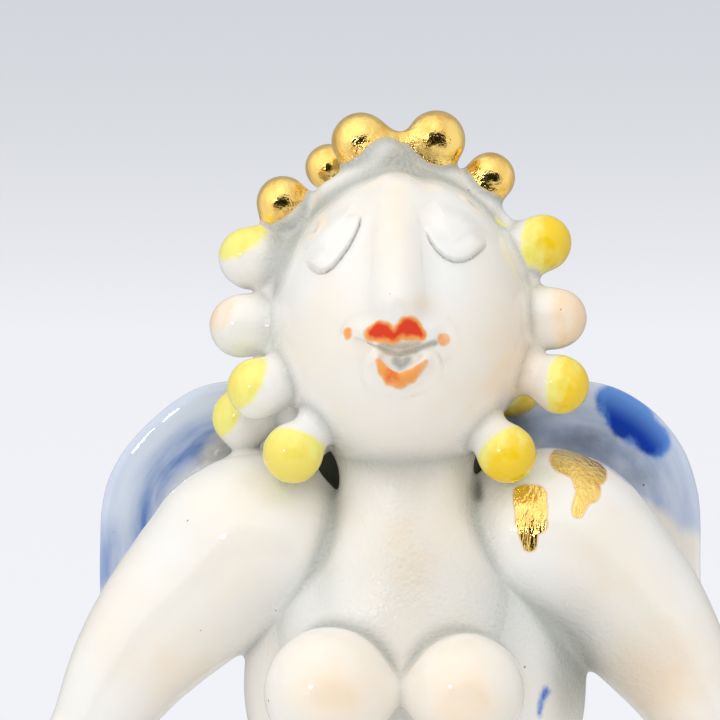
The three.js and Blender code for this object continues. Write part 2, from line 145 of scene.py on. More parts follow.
# %% Sizes of the body
GOWN_HEIGHT = 84.0
WAIST_HALF = (19.6, 15.2)
HEM_RADIUS = 44.0
FLUTE_DEPTH = 1.5
FLUTE_COUNT = 8
FLUTE_START = 0.3
BUST_LINE = GOWN_HEIGHT + 12.0
TRUNK_CENTRE = (1.7, 0.0, BUST_LINE)
TRUNK_HALF = (21.6, 15.0, 23.5)
CHEST_CENTRE = (0.0, -5.4, BUST_LINE + 5.0)
CHEST_HALF = (15.4, 10.4, 17.0)
NECK_ROOT = (0.65, -5.4, BUST_LINE + 9.8)
NECK_TOP = (0.45, -3.4, BUST_LINE + 36.8)
NECK_RADII = (9.3, 7.7)
BUST_BALLS = {"left": ((-9.0, -16.9, BUST_LINE + 0.3), 7.95), "right": ((7.6, -16.9, BUST_LINE + 0.3), 7.2)}
ELBOW = (39.5, -3.0, BUST_LINE - 7.3)
ARM_RADII = (12.0, 5.1)
ARMS = {
    "left": ((-18.8, -1.0, BUST_LINE + 17.8), (4.9, 0.68, 1.0)),
    "right": ((18.7, -1.0, BUST_LINE + 18.4), (3.6, 0.53, 0.84)),
}
FOREARM_RADII = (5.3, 3.5)
print("bust line at", BUST_LINE, "mm, shoulders at", ARMS["left"][0][2], "mm")

# %% A book of clay forms
SIDES = {"left": -1, "right": 1}
forms = {}


def add_form(name, distance, low, high):
    forms[name] = (distance, np.array(low, float), np.array(high, float))


def add_egg(name, centre, half_sizes):
    low = np.subtract(centre, half_sizes)
    add_form(name, lambda p: egg(p, centre, half_sizes), low, np.add(centre, half_sizes))


def add_roll(name, start, end, start_radius, end_radius):
    low = np.minimum(np.subtract(start, start_radius), np.subtract(end, end_radius))
    high = np.maximum(np.add(start, start_radius), np.add(end, end_radius))
    add_form(name, lambda p: roll(p, start, end, start_radius, end_radius), low, high)


for word, side in SIDES.items():
    centre, radius = BUST_BALLS[word]
    add_egg(f"bust_{word}", centre, (radius,) * 3)
print("forms in the book:", *forms)

# %% Trunk, neck and upper arms
WAIST_INSET = 0.5
WAIST_FILLET = 2.4
NECK_FILLET = 5.0
NECK_BOX = ((-15.4, -15.8, 87), (15.4, 5, 140))
ARM_ROOM = 1.5


def trunk(points):
    body = egg(points, TRUNK_CENTRE, TRUNK_HALF)
    half_width, half_depth = WAIST_HALF[0] - WAIST_INSET, WAIST_HALF[1] - WAIST_INSET
    waist = np.hypot(points[:, 0] / half_width, points[:, 1] / half_depth)
    crown = np.maximum(points[:, 2] - GOWN_HEIGHT, (waist - 1) * WAIST_HALF[1])
    return np.maximum(fuse(body, crown, WAIST_FILLET), GOWN_HEIGHT - points[:, 2])


def bend_share(along, middle, spread):
    return 0.5 + 0.5 * np.cos(math.pi * np.clip((along - middle) / spread, -1, 1))


def arm(word, side):
    shoulder, (bend, *shape) = ARMS[word]
    elbow = np.array([side * ELBOW[0], *ELBOW[1:]])
    span = elbow - shoulder
    outward = np.array([-side * span[2], 0, side * span[0]])
    outward *= bend / np.linalg.norm(outward)
    start = shoulder - outward * bend_share(0, *shape)
    end = elbow - outward * bend_share(1, *shape)

    def distance(points):
        along = (points - start) @ (end - start) / ((end - start) @ (end - start))
        return roll(points - bend_share(along, *shape)[:, None] * outward, start, end, *ARM_RADII)

    return distance


def neck_and_chest(points):
    chest = egg(points, CHEST_CENTRE, CHEST_HALF)
    return fuse(chest, roll(points, NECK_ROOT, NECK_TOP, *NECK_RADII), NECK_FILLET)


add_form("trunk", trunk, np.subtract(TRUNK_CENTRE, TRUNK_HALF), np.add(TRUNK_CENTRE, TRUNK_HALF))
add_form("neck_and_chest", neck_and_chest, *NECK_BOX)
for word, side in SIDES.items():
    shoulder, elbow = ARMS[word][0], (side * ELBOW[0], *ELBOW[1:])
    low = np.minimum(np.subtract(shoulder, ARM_RADII[0] + ARM_ROOM), np.subtract(elbow, ARM_RADII[1]))
    high = np.maximum(np.add(shoulder, ARM_RADII[0] + ARM_ROOM), np.add(elbow, ARM_RADII[1]))
    add_form(f"upper_arm_{word}", arm(word, side), low, high)
    print("upper arm", word, "from", shoulder, "to", elbow)

# %% [markdown]
# ## Hands on the hips
# The photograph stops above the hands. Arms that point down and out to elbows at the frame's edge belong to
# hands on hips, so each forearm comes back to the gown, and a small mitten hand lies on it, with four
# fingers pressed side by side and a thumb.

# %% The gown's surface as a rule
def gown_point(angle, share):
    flare = share * (2 - share)
    start = max(share - FLUTE_START, 0) / (1 - FLUTE_START)
    flute = FLUTE_DEPTH * start**2 * math.cos(FLUTE_COUNT * angle)
    across = WAIST_HALF[0] + (HEM_RADIUS - WAIST_HALF[0]) * flare + flute
    deep = WAIST_HALF[1] + (HEM_RADIUS - WAIST_HALF[1]) * flare + flute
    return np.array([across * math.cos(angle), -deep * math.sin(angle), GOWN_HEIGHT * (1 - share)])


print("the hem reaches", gown_point(0, 1)[0], "mm from the middle")

# %% Where a hand lies, as its middle and three directions
HAND_DROP = 19.5
HAND_ANGLE = math.radians(30)
HAND_HALF = (3.6, 2.2, 5.6)


def hand_pose(side):
    share = HAND_DROP / GOWN_HEIGHT
    step = HAND_HALF[2] / GOWN_HEIGHT
    swing = HAND_HALF[0] / HEM_RADIUS
    angle = HAND_ANGLE if side > 0 else math.pi - HAND_ANGLE
    down = gown_point(angle, share + step) - gown_point(angle, share - step)
    down /= np.linalg.norm(down)
    outward = np.cross(gown_point(angle + swing, share) - gown_point(angle - swing, share), down)
    outward /= np.linalg.norm(outward)
    centre = gown_point(angle, share) + outward * HAND_HALF[1]
    return centre, np.cross(outward, down), outward, down


print("the right hand's middle is at", hand_pose(1)[0].round(1))

# %% Palm, four fingers and a thumb
PALM_SHARES = (1, 1, 0.72)
PALM_LIFT = 1.3
FINGER_RADII = (1.15, 0.95)
FINGER_STEP = 1.6
FINGER_REACH = 4.6
FINGER_SHORTENING = 0.35
LONGEST_FINGER = 1.4
FINGER_ROOT_SHARE = 0.75
FINGER_SINK = (0.3, 1.1)
FINGER_FILLET = 0.35
THUMB_SPREAD = (2.2, 3.9)
THUMB_DROP = (-2.6, 0.9)
THUMB_SINK = 0.8
THUMB_RADII = (1.3, 1.0)
THUMB_FILLET = 0.8
WRIST_LIFT = 1.1
HAND_ROOM = 7.5


def hand(side):
    centre, across, outward, down = hand_pose(side)
    turn = np.column_stack([across, outward, down])
    palm_half = np.multiply(HAND_HALF, PALM_SHARES)
    tips = [(k - 1.5) * FINGER_STEP for k in range(4)]

    def distance(points):
        shape = egg(points, centre - down * PALM_LIFT, palm_half, turn)
        for k, shift in enumerate(tips):
            root = centre + across * shift * FINGER_ROOT_SHARE - outward * FINGER_SINK[0]
            reach = FINGER_REACH - FINGER_SHORTENING * abs(k - LONGEST_FINGER)
            tip = centre + across * shift + down * reach - outward * FINGER_SINK[1]
            shape = fuse(shape, roll(points, root, tip, *FINGER_RADII), FINGER_FILLET)
        root = centre + down * THUMB_DROP[0] - across * side * THUMB_SPREAD[0]
        tip = centre + down * THUMB_DROP[1] - across * side * THUMB_SPREAD[1] - outward * THUMB_SINK
        return fuse(shape, roll(points, root, tip, *THUMB_RADII), THUMB_FILLET)

    return distance


for word, side in SIDES.items():
    centre, across, outward, down = hand_pose(side)
    wrist = centre - down * HAND_HALF[2] + outward * WRIST_LIFT
    elbow = (side * ELBOW[0], *ELBOW[1:])
    add_roll(f"forearm_{word}", elbow, wrist, *FOREARM_RADII)
    add_form(f"hand_{word}", hand(side), centre - HAND_ROOM, centre + HAND_ROOM)
    print("hand", word, "lies at", centre.round(1))

# %% [markdown]
# ## Wings
# Each wing is a pressed petal of clay, cupped towards the back, thick in the middle and round at its rim.
# Its outline is an oval with one drawn-out corner, and the left one has a shallow dent besides. The field
# measures a point against that outline and against the petal's bent middle surface, and an exponent above
# two makes the section full.

# %% The petal's outline
WING_CENTRE = (22.0, 15.0, BUST_LINE + 20.6)
WING_HALF = (17.0, 17.6)
WING_TIP_REACH = 5.4
WING_TIP_TURN = math.radians(-52)
WING_TIP_SPREAD = math.radians(26)
WING_DENT = {-1: 1.2, 1: 0.0}
WING_DENT_TURN = math.radians(48)
WING_DENT_SPREAD = math.radians(30)


def wing_place(points, side):
    out = side * points[:, 0] - WING_CENTRE[0]
    up = points[:, 2] - WING_CENTRE[2]
    turn = np.arctan2(up, out)
    width, height = WING_HALF
    oval = width * height / np.hypot(height * np.cos(turn), width * np.sin(turn))
    away = np.arctan2(np.sin(turn - WING_TIP_TURN), np.cos(turn - WING_TIP_TURN))
    reach = oval + WING_TIP_REACH * np.exp(-((away / WING_TIP_SPREAD) ** 2))
    reach = reach - WING_DENT[side] * np.exp(-(((turn - WING_DENT_TURN) / WING_DENT_SPREAD) ** 2))
    return out, np.hypot(out, up), turn, reach


print("wing petals", 2 * WING_HALF[0], "x", 2 * WING_HALF[1], "mm")

# %% The petal's distance field
WING_THICKNESS = 2.5
WING_CUP = 2.2
WING_CUP_LIMIT = 1.2
WING_SWEEP = 1.6
WING_FULLNESS = 2.7
WING_GUARD = 1e-3
WING_ROOM = (24, 8, 24)


def wing(side):
    def distance(points):
        out, radius, _, reach = wing_place(points, side)
        share = radius / reach
        middle = WING_CENTRE[1] + WING_SWEEP * out / WING_HALF[0]
        middle = middle - WING_CUP * np.minimum(share, WING_CUP_LIMIT) ** 2
        depth = np.abs(points[:, 1] - middle) / WING_THICKNESS
        power = WING_FULLNESS
        near = np.maximum((share**power + depth**power) ** (1 / power), WING_GUARD)
        out_slope = (share / near) ** (power - 1) / reach
        depth_slope = (depth / near) ** (power - 1) / WING_THICKNESS
        return (near - 1) / np.maximum(np.hypot(out_slope, depth_slope), WING_GUARD)

    return distance


for word, side in SIDES.items():
    spot = np.multiply(WING_CENTRE, (side, 1, 1))
    add_form(f"wing_{word}", wing(side), spot - WING_ROOM, spot + WING_ROOM)
    print("wing", word, "round", spot)

# %% [markdown]
# ## The head
# The skull carries the hair, and the face is a thick egg-shaped cap in front of it. Both live in a frame
# that is tilted back by 18 degrees, so the sculpting below is done in head coordinates: across the face, out
# of it, and up. The skull is cut by a plane just in front of the ears, with a rounded edge, which leaves the
# white step that the photograph shows round the face.

# %% Head coordinates
HEAD_TILT = math.radians(18)
HEAD_RISE = 9.3
HEAD_CENTRE = np.array([0.0, -4.6, NECK_TOP[2] + HEAD_RISE])
HEAD_TURN = np.array(
    [
        [1, 0, 0],
        [0, math.cos(HEAD_TILT), math.sin(HEAD_TILT)],
        [0, -math.sin(HEAD_TILT), math.cos(HEAD_TILT)],
    ]
)


def head_place(across, out, up):
    return HEAD_TURN @ np.array([across, -out, up]) + HEAD_CENTRE


def head_coordinates(points):
    local = (points - HEAD_CENTRE.astype(points.dtype)) @ HEAD_TURN.astype(points.dtype)
    return local[:, 0], -local[:, 1], local[:, 2]


print("the crown of a 20 mm head would be at", head_place(0, 0, 20).round(1))

# %% Skull and face
FACE_HALF = (15.6, 15.4, 18.6)
FACE_DROP = 0.5
SKULL_HALF = (17.0, 16.4, 19.8)
SKULL_LIFT = 1.9
SEAM_FORWARD = 1.2
SEAM_ROUND = 3.0
SKULL_BOX = (HEAD_CENTRE - 23, HEAD_CENTRE + 24)


def skull(points):
    shape = egg(points, head_place(0, 0, SKULL_LIFT), SKULL_HALF, HEAD_TURN)
    return trim(shape, head_coordinates(points)[1] - SEAM_FORWARD, SEAM_ROUND)


def face_depth(across, up):
    left = 1 - (across / FACE_HALF[0]) ** 2 - ((up + FACE_DROP) / FACE_HALF[2]) ** 2
    return FACE_HALF[1] * math.sqrt(max(left, 0))


print("the face stands", round(face_depth(0, 0), 1), "mm in front of the head's middle")

# %% [markdown]
# ## Closed eyes
# An eyelid is a soft swelling that ends in one crisp lower edge, where the modeller pressed a tool along it;
# its upper side runs out into the brow. So a lid is an outline of two lines, the drawn lower edge and a brow
# line. Its height over the face rises at once along the edge, where a fine crease holds grey glaze, and
# fades away towards the brow. The outline is also where the lid's mesh ends and the face's begins.

# %% The eyelids as drawn
LIDS = {
    "eyelid_left": {
        "edge": [(-13.0, 5.6), (-12.4, 4.8), (-11.6, 3.6), (-10.9, 2.6), (-10.2, 1.9), (-9.5, 1.75)]
        + [(-8.6, 2.2), (-7.7, 3.2), (-6.7, 4.6), (-6.0, 6.0), (-5.45, 7.5), (-5.2, 9.0)],
        "brow": [(-6.3, 11.2), (-9.2, 10.6), (-11.9, 8.6)],
    },
    "eyelid_right": {
        "edge": [(2.2, 9.0), (2.4, 7.6), (2.8, 6.2), (3.4, 4.8), (4.2, 3.6), (5.2, 2.8), (6.3, 2.5)]
        + [(7.4, 2.8), (8.4, 3.5), (9.4, 4.7), (10.2, 6.0)],
        "brow": [(10.3, 8.6), (8.0, 10.6), (4.2, 11.2)],
    },
}
for name, lid in LIDS.items():
    print(name, "has", len(lid["edge"]), "points along its edge")


# %% Distances to drawn lines
FAR = 1e3


def line_distance(across, up, line, radii=None):
    nearest = np.full(len(across), FAR, across.dtype)
    for k, (start, end) in enumerate(zip(line, line[1:])):
        span = np.subtract(end, start)
        share = (across - start[0]) * span[0] + (up - start[1]) * span[1]
        share = np.clip(share / (span @ span), 0, 1)
        gap = np.hypot(across - start[0] - share * span[0], up - start[1] - share * span[1])
        if radii is not None:
            gap = gap - (radii[k] + share * (radii[k + 1] - radii[k]))
        nearest = np.minimum(nearest, gap)
    return nearest


def ridge(across, up, line, radius):
    return np.exp(-((line_distance(across, up, line) / radius) ** 2))


def inside_outline(across, up, outline):
    inside = np.zeros(len(across), bool)
    for (a, b), (c, d) in zip(outline, outline[1:] + outline[:1]):
        if b != d:
            inside ^= ((b > up) != (d > up)) & (across < a + (up - b) * (c - a) / (d - b))
    return inside


sample = np.array([-9.5])
edge_gap = line_distance(sample, sample * 0, LIDS["eyelid_left"]["edge"])
print("the left lid's edge is", edge_gap.round(2), "mm away")

# %% The height of the eyelids over the face
LID_STEP = 0.62
LID_BULGE = 0.75
LID_BULGE_RISE = (-0.4, 2.9)
LID_EDGE = 0.11
LID_CREASE = 0.3
LID_CREASE_PLACE = 0.1
LID_CREASE_WIDTH = 0.17
LID_CRISP_PART = slice(3, -1)
LID_CRISP_FADE = (0.4, 2.4)


def lid_place(name, across, up):
    lid = LIDS[name]
    outline = lid["edge"] + lid["brow"]
    gap = line_distance(across, up, outline + outline[:1])
    inside = np.where(inside_outline(across, up, outline), gap, -gap)
    crisp = 1 - ease(line_distance(across, up, lid["edge"][LID_CRISP_PART]), *LID_CRISP_FADE)
    return inside, crisp


def lid_height(name, across, up):
    inside, crisp = lid_place(name, across, up)
    step = 0.5 + 0.5 * np.tanh(inside / LID_EDGE)
    crease = LID_CREASE * np.exp(-(((inside + LID_CREASE_PLACE) / LID_CREASE_WIDTH) ** 2))
    return (LID_STEP * step - crease) * crisp + LID_BULGE * ease(inside, *LID_BULGE_RISE)


for name, across in (("eyelid_left", -9.5), ("eyelid_right", 6.3)):
    height = lid_height(name, np.array([across]), np.array([5.0]))
    print(name, "rises", height.round(2), "mm above the face")


# %% [markdown]
# ## The mouth
# The upper lip is a bow of two lobes, the lower lip a small bent roll, and between them a thin slit opens
# into a shallow valley where the glaze has pooled grey. The lips and the valley are heights over the face
# again, and the slit is carved with a smooth cut, because a groove with a round floor holds the glaze.

# %% Places of the lips and the height that they add
LOWER_LIP = [(-3.1, -10.0), (-2.1, -11.5), (-0.5, -12.15), (1.1, -11.4), (2.5, -10.15)]
LOWER_LIP_RADIUS = 0.95
LOWER_LIP_HEIGHT = 0.85
UPPER_LIP = [(-5.0, -6.7), (-2.7, -6.3), (-0.9, -6.9), (1.0, -6.1), (3.3, -6.7)]
UPPER_LIP_RADIUS = 1.15
UPPER_LIP_HEIGHT = 0.7
VALLEY = [(-2.2, -9.5), (-0.4, -10.6), (1.5, -9.4)]
VALLEY_RADIUS = 0.75
VALLEY_DEPTH = 0.75


def lip_height(across, up):
    lower = LOWER_LIP_HEIGHT * ridge(across, up, LOWER_LIP, LOWER_LIP_RADIUS)
    upper = UPPER_LIP_HEIGHT * ridge(across, up, UPPER_LIP, UPPER_LIP_RADIUS)
    return lower + upper - VALLEY_DEPTH * ridge(across, up, VALLEY, VALLEY_RADIUS)


print("the lower lip stands", lip_height(np.array([-0.5]), np.array([-12.15])).round(2), "mm out")

# %% [markdown]
# ## The whole face
# The heights are taken off the egg's distance, and the slit is cut into the result. The nose is a roll of
# its own: a long soft ridge from the hairline down to the tip, melted into the face over a wide fillet, so
# that it has no edge anywhere.

# %% The face's field
SLIT = [(-5.9, -7.2), (-4.4, -7.8), (-2.9, -8.5), (-1.7, -9.1)]
SLIT += [(-0.6, -9.4), (0.6, -9.1), (2.2, -8.5), (4.2, -7.8)]
SLIT_MIDDLE = -0.6
SLIT_RADIUS = 0.24
SLIT_NARROWING = 0.045
SLIT_LIFT = 0.12
SLIT_ROUND = 0.25
RELIEF_REACH = 4
FACE_BOX = (HEAD_CENTRE - 21, HEAD_CENTRE + 21)


def face(points):
    shape = egg(points, head_place(0, 0, -FACE_DROP), FACE_HALF, HEAD_TURN)
    across, out, up = head_coordinates(points)
    front = (out > RELIEF_REACH) & (np.abs(shape) < RELIEF_REACH)
    if front.any():
        a, b, base = across[front], up[front], shape[front]
        lifted = base - lid_height("eyelid_left", a, b) - lid_height("eyelid_right", a, b) - lip_height(a, b)
        slit = np.hypot(line_distance(a, b, SLIT), lifted + SLIT_LIFT)
        slit = slit - (SLIT_RADIUS - SLIT_NARROWING * np.abs(a - SLIT_MIDDLE))
        shape[front] = trim(lifted, -slit, SLIT_ROUND)
    return shape


add_form("face", face, *FACE_BOX)
print("the face's field fills", (FACE_BOX[1] - FACE_BOX[0]).round(1), "mm")

# %% The nose
NOSE = [(13.6, -1.8, 1.9), (5.0, -0.2, 2.2), (-3.4, 0.35, 2.5)]
FEATURE_SHIFT = 0.8
NOSE_BOX = (head_place(-5, 20, -8) - (0, 4, 4), head_place(5, 6, 20) + (0, 4, 4))


def nose(points):
    spots = [
        head_place(-FEATURE_SHIFT, face_depth(FEATURE_SHIFT, up) + raise_out, up) for up, raise_out, _ in NOSE
    ]
    radii = [radius for *_, radius in NOSE]
    upper = roll(points, spots[0], spots[1], radii[0], radii[1])
    return np.minimum(upper, roll(points, spots[1], spots[2], radii[1], radii[2]))


add_form("nose", nose, *NOSE_BOX)
print("the nose runs from", NOSE[0][0], "mm above the middle of the head to", -NOSE[-1][0], "mm below it")

# %% [markdown]
# ## Curls
# The hair is 29 clay balls. Each one was rolled between finger and palm, pinched to a short neck and pressed
# onto the skull, so each is a tapered roll from a root inside the skull to the ball. A curl is placed by its
# turn round the face, how far it lies behind the parting, how far it stands off and how big it is. The back
# of the head is not seen in the photograph: it gets the same balls in two rings, with two more inside them.

# %% Where the curls sit
RIM_CURLS = {
    "curl_gold_1": (-44.4, 0, 0.6, 0.92),
    "curl_gold_2": (-22.4, 14, 1.34, 0.84),
    "curl_gold_3": (-13, -8, 0.46, 1.02),
    "curl_gold_4": (10.9, -8, 0.47, 1.02),
    "curl_gold_5": (31, 0, 0.46, 0.86),
    "curl_yellow_1": (61, 0, 0.58, 0.98),
    "curl_peach_1": (90.2, 0, 0.64, 1.02),
    "curl_yellow_2": (115, -2, 1.3, 1),
    "curl_yellow_3": (145.4, -6, 1.4, 1),
    "curl_yellow_4": (-143.7, -6, 1.52, 1.01),
    "curl_yellow_5": (-118.7, -4, 0.94, 1.05),
    "curl_yellow_6": (-117, 22, 2.0, 1.04),
    "curl_peach_2": (-92, 4, 0.86, 1.07),
    "curl_yellow_7": (-66.3, 4, 0.82, 1.05),
}
BACK_ROWS = [(36, 8, -98, 112, 1.04, 0.62), (62, 5, -112, 112, 1.06, 0.6), (66, 1, 180, 180, 1, 0.6)]
BACK_ROWS.append((90, 1, 180, 180, 1.08, 0.6))
print(len(RIM_CURLS), "curls round the face,", sum(row[1] for row in BACK_ROWS), "on the back of the head")

# %% From a turn and a tilt to a root and a ball
CURL_RADIUS = 3.75
CURL_SINK = 0.72
CURL_EASE = 0.97


def skull_reach(across, out, up):
    a = (across / SKULL_HALF[0]) ** 2 + (out / SKULL_HALF[1]) ** 2 + (up / SKULL_HALF[2]) ** 2
    b = -2 * up * SKULL_LIFT / SKULL_HALF[2] ** 2
    c = (SKULL_LIFT / SKULL_HALF[2]) ** 2 - 1
    return (-b + math.sqrt(b * b - 4 * a * c)) / (2 * a)


def curl_sizes(clock, back, reach, size):
    clock, back = math.radians(clock), math.radians(back)
    way = np.array([math.sin(clock) * math.cos(back), -math.sin(back), math.cos(clock) * math.cos(back)])
    radius = CURL_RADIUS * size
    seat = skull_reach(*way)
    root = head_place(*(way * (seat - radius * CURL_SINK)))
    ball = head_place(*(way * (seat + radius * reach)))
    return root, ball, radius * CURL_EASE


curls = {name: curl_sizes(*places) for name, places in RIM_CURLS.items()}
for back, count, first, last, size, reach in BACK_ROWS:
    for clock in np.linspace(first, last, count):
        name = f"curl_back_{len(curls) - len(RIM_CURLS) + 1}"
        curls[name] = curl_sizes(clock, back, reach, size)
print(len(curls), "curls, balls of", round(2 * CURL_RADIUS, 1), "mm")

# %% The curls' fields, with the web of clay between the two top balls
CURL_NECK = {"gold": 0.3, "yellow": 0.62, "peach": 0.62}
CURL_WAIST = 1.6
WEB_RADIUS = 1.0
WEB_FORWARD = 1.0
WEB_FILLET = 2.2
WEB_ROOM = (9, 0, 0)


def colour_of(name):
    return slots[name].split("_")[0]


def web_distance(points):
    left, right = curls["curl_gold_3"][1], curls["curl_gold_4"][1]
    forward = np.array([0, -WEB_FORWARD, 0])
    return roll(points, left + forward, right + forward, WEB_RADIUS, WEB_RADIUS)


def curl(root, ball, radius, share):
    neck = radius * share
    return lambda p: fuse(egg(p, ball, (radius,) * 3), roll(p, root, ball, neck, neck), CURL_WAIST)


for name, (root, ball, radius) in curls.items():
    low, high = np.minimum(root, ball) - radius, np.maximum(root, ball) + radius
    add_form(name, curl(root, ball, radius, CURL_NECK[colour_of(name)]), low, high)
plain_curl, low, high = forms["curl_gold_3"]
add_form("curl_gold_3", lambda p: fuse(plain_curl(p), web_distance(p), WEB_FILLET), low, high + WEB_ROOM)
print("the top two balls are", round(curls["curl_gold_4"][1][0] - curls["curl_gold_3"][1][0], 1), "mm apart")

# %% [markdown]
# ## Clay pushed up round the face
# Where the curls were luted on, soft clay was pushed up: a low band over the forehead, a small peak below the
# top two balls, and a lump at the left jaw that carries two curls. Each is a short tapered roll, melted into
# the skull over a wide fillet.

# %% The band, the peak and the lump on the skull
PEAK = [
    ((-8.6, -2.6, 157.3), (-2.0, -3.6, 161.5), 2.0, 1.9),
    ((-2.0, -3.6, 161.5), (4.2, -3.2, 158.2), 1.9, 1.5),
]
BROW_BAND = [(-10.5, 1.3, 14.0), (-5.5, 1.6, 17.2), (0.0, 1.7, 18.5), (5.5, 1.6, 17.2), (10.5, 1.3, 14.0)]
BROW_BAND_RADII = [0.5, 1.3, 1.5, 1.3, 0.5]
JAW_LUMP = ((-15.0, 0.0, 135.0), (-11.4, -1.0, 127.2), 2.9, 2.7)
LUMP_FILLET = 2.6


def lumpy_skull(points):
    shape = skull(points)
    spots = [head_place(*place) for place in BROW_BAND]
    band = list(zip(spots, spots[1:], BROW_BAND_RADII, BROW_BAND_RADII[1:]))
    for lump in [*PEAK, JAW_LUMP, *band]:
        shape = fuse(shape, roll(points, *lump), LUMP_FILLET)
    return shape


add_form("skull", lumpy_skull, *SKULL_BOX)
print(len(forms), "forms in the book, of", len(slots), "nodes")

# %% [markdown]
# ## One skin of glaze
# Now all forms are joined in the order in which they were luted on, each with its own fillet: wide where
# neck meets chest, two or three millimetres where a curl sits on the skull, under a millimetre round the
# bust, whose crease is crisp. A very low wave is added, because no hand-rolled clay is perfectly round. Forms
# that are far from the points in question are skipped, which saves most of the work.

# %% The wave of hand-rolled clay, and the forms that are near
WAVE_HEIGHT = 0.07
SHORT_WAVE_SHARE = 0.35
REACH = 6.0


def wave(points):
    x, y, z = points.T
    long = np.sin(0.47 * x + 0.9) * np.sin(0.41 * y + 0.4) * np.sin(0.38 * z + 2.0)
    short = np.sin(0.93 * x + 0.31 * z) * np.sin(0.88 * z + 0.7 * y + 1.0)
    return WAVE_HEIGHT * (long + SHORT_WAVE_SHARE * short)


def measure_forms(points):
    low, high = points.min(0) - REACH, points.max(0) + REACH
    near = {}
    for name, (distance, form_low, form_high) in forms.items():
        if (form_low < high).all() and (form_high > low).all():
            near[name] = distance(points)
    return near


print("near the mouth:", *measure_forms(head_place(0, 15.0, -9.0)[None]))

# %% The whole field
BODY_JOINTS = [("trunk", 1.0), ("neck_and_chest", 3.6)]
for word in SIDES:
    BODY_JOINTS += [(f"upper_arm_{word}", 1.6), (f"forearm_{word}", 0.9), (f"hand_{word}", 0.8)]
    BODY_JOINTS.append((f"wing_{word}", 1.0))
BUST_JOINTS = [("bust_left", 1.0), ("bust_right", 3.7)]
HEAD_JOINTS = [("skull", 1.0), ("face", 1.9), ("nose", 3.4)]
BUST_FILLET = 0.9
HEAD_FILLET = 3.6
CURL_FILLETS = {"gold": 1.7, "yellow": 2.8, "peach": 2.8}
CURL_TOUCH = 1.5


def join(near, joints):
    shape = None
    for name, fillet in joints:
        if name in near:
            shape = near[name] if shape is None else fuse(shape, near[name], fillet)
    return shape


def whole(near):
    body = join(near, BODY_JOINTS)
    layers = [(join(near, BUST_JOINTS), BUST_FILLET), (join(near, HEAD_JOINTS), HEAD_FILLET)]
    for colour, fillet in CURL_FILLETS.items():
        balls = [(name, CURL_TOUCH) for name in curls if colour_of(name) == colour]
        layers.append((join(near, balls), fillet))
    for shape, fillet in layers:
        if shape is not None:
            body = shape if body is None else fuse(body, shape, fillet)
    return body


print("joined in layers: body, bust, head and", len(CURL_FILLETS), "colours of curls")

# %% [markdown]
# ## From one skin to pieces
# The part has a node for each clay form, so the skin is shared out: a point belongs to the form whose own
# clay is nearest. A piece runs on a little past that border and then dives under its neighbour, so the two
# meshes overlap along one skin and no notch shows. The eyelids, which are part of the face's skin, are cut
# out of it a little outside their outlines, and the lips at a distance from a line along their middles.

# %% The borders of the eyelids and the lips
PAD_PLACES = {"eyelid_left": (-8.7, 6.3), "eyelid_right": (6.3, 6.8)}
PAD_PLACES.update(upper_lip=(-0.5, -7.4), lower_lip=(-0.5, -11.0))
PADS = list(PAD_PLACES)
LID_MARGIN = 0.5
UPPER_MOUTH = [(-5.2, -7.0), (-0.4, -7.4), (4.2, -7.2)]
LOWER_MOUTH = [(-2.6, -10.9), (-0.3, -11.4), (2.2, -10.8)]
UPPER_MOUTH_REACH = 2.6
LOWER_MOUTH_REACH = 2.5


def pad_border(name, across, up):
    if name in LIDS:
        return -lid_place(name, across, up)[0] - LID_MARGIN
    upper = line_distance(across, up, UPPER_MOUTH) - UPPER_MOUTH_REACH
    lower = line_distance(across, up, LOWER_MOUTH) - LOWER_MOUTH_REACH
    return np.maximum(upper, -lower) if name == "upper_lip" else lower


for pad, (across, up) in PAD_PLACES.items():
    print(pad, "has its border", -pad_border(pad, np.array([across]), np.array([up])).round(1), "mm away")

# %% Which piece owns a point
DIVE = 3.0
OVERLAP = 0.3
PAD_FRONT = 4
PAD_PIT = 2.4
PAD_DEPTH = 1.8


def piece_field(name):
    own = "face" if name in PADS else name

    def field(points):
        near = measure_forms(points)
        if own not in near:
            return np.full(len(points), REACH, points.dtype)
        others = [distance for other, distance in near.items() if other != own]
        rival = np.min(others, axis=0) if others else np.full(len(points), REACH)
        skin = whole(near) + wave(points)
        skin = skin + DIVE * np.maximum(near[own] - rival - OVERLAP, 0) ** 2
        if own != "face":
            return skin
        across, out, up = head_coordinates(points)
        if name in PADS:
            base = egg(points, head_place(0, 0, -FACE_DROP), FACE_HALF, HEAD_TURN)
            border = np.maximum(pad_border(name, across, up), PAD_FRONT - out)
            return np.maximum(skin + DIVE * np.maximum(border - OVERLAP, 0) ** 2, -PAD_DEPTH - base)
        for pad in PADS:
            inside = np.where(out > PAD_FRONT, np.maximum(-pad_border(pad, across, up) - OVERLAP, 0), 0)
            skin = skin + np.minimum(DIVE * inside**2, PAD_PIT)
        return skin

    return field


chin = head_place(0, 15.0, -14.0)[None]
print("at the chin the face's field reads", piece_field("face")(chin).round(2))

# %% [markdown]
# ## Fields to meshes
# OpenVDB, which comes with Blender, turns a grid of distances into quads. Its corners are good to about a
# tenth of a grid step, so each one is then walked along the field's slope onto the exact surface. The slope
# of the whole skin gives each corner's normal, so the shading runs across the borders of the pieces.

# %% Grid steps, fine where the detail is crisp
PITCHES = {"face": 0.24, "nose": 0.24, "skull": 0.3, "trunk": 0.45, "neck_and_chest": 0.36}
KIND_PITCHES = {"eyelid": 0.13, "upper_l": 0.13, "lower_l": 0.13, "curl": 0.22, "bust": 0.3, "hand": 0.22}
DEFAULT_PITCH = 0.4


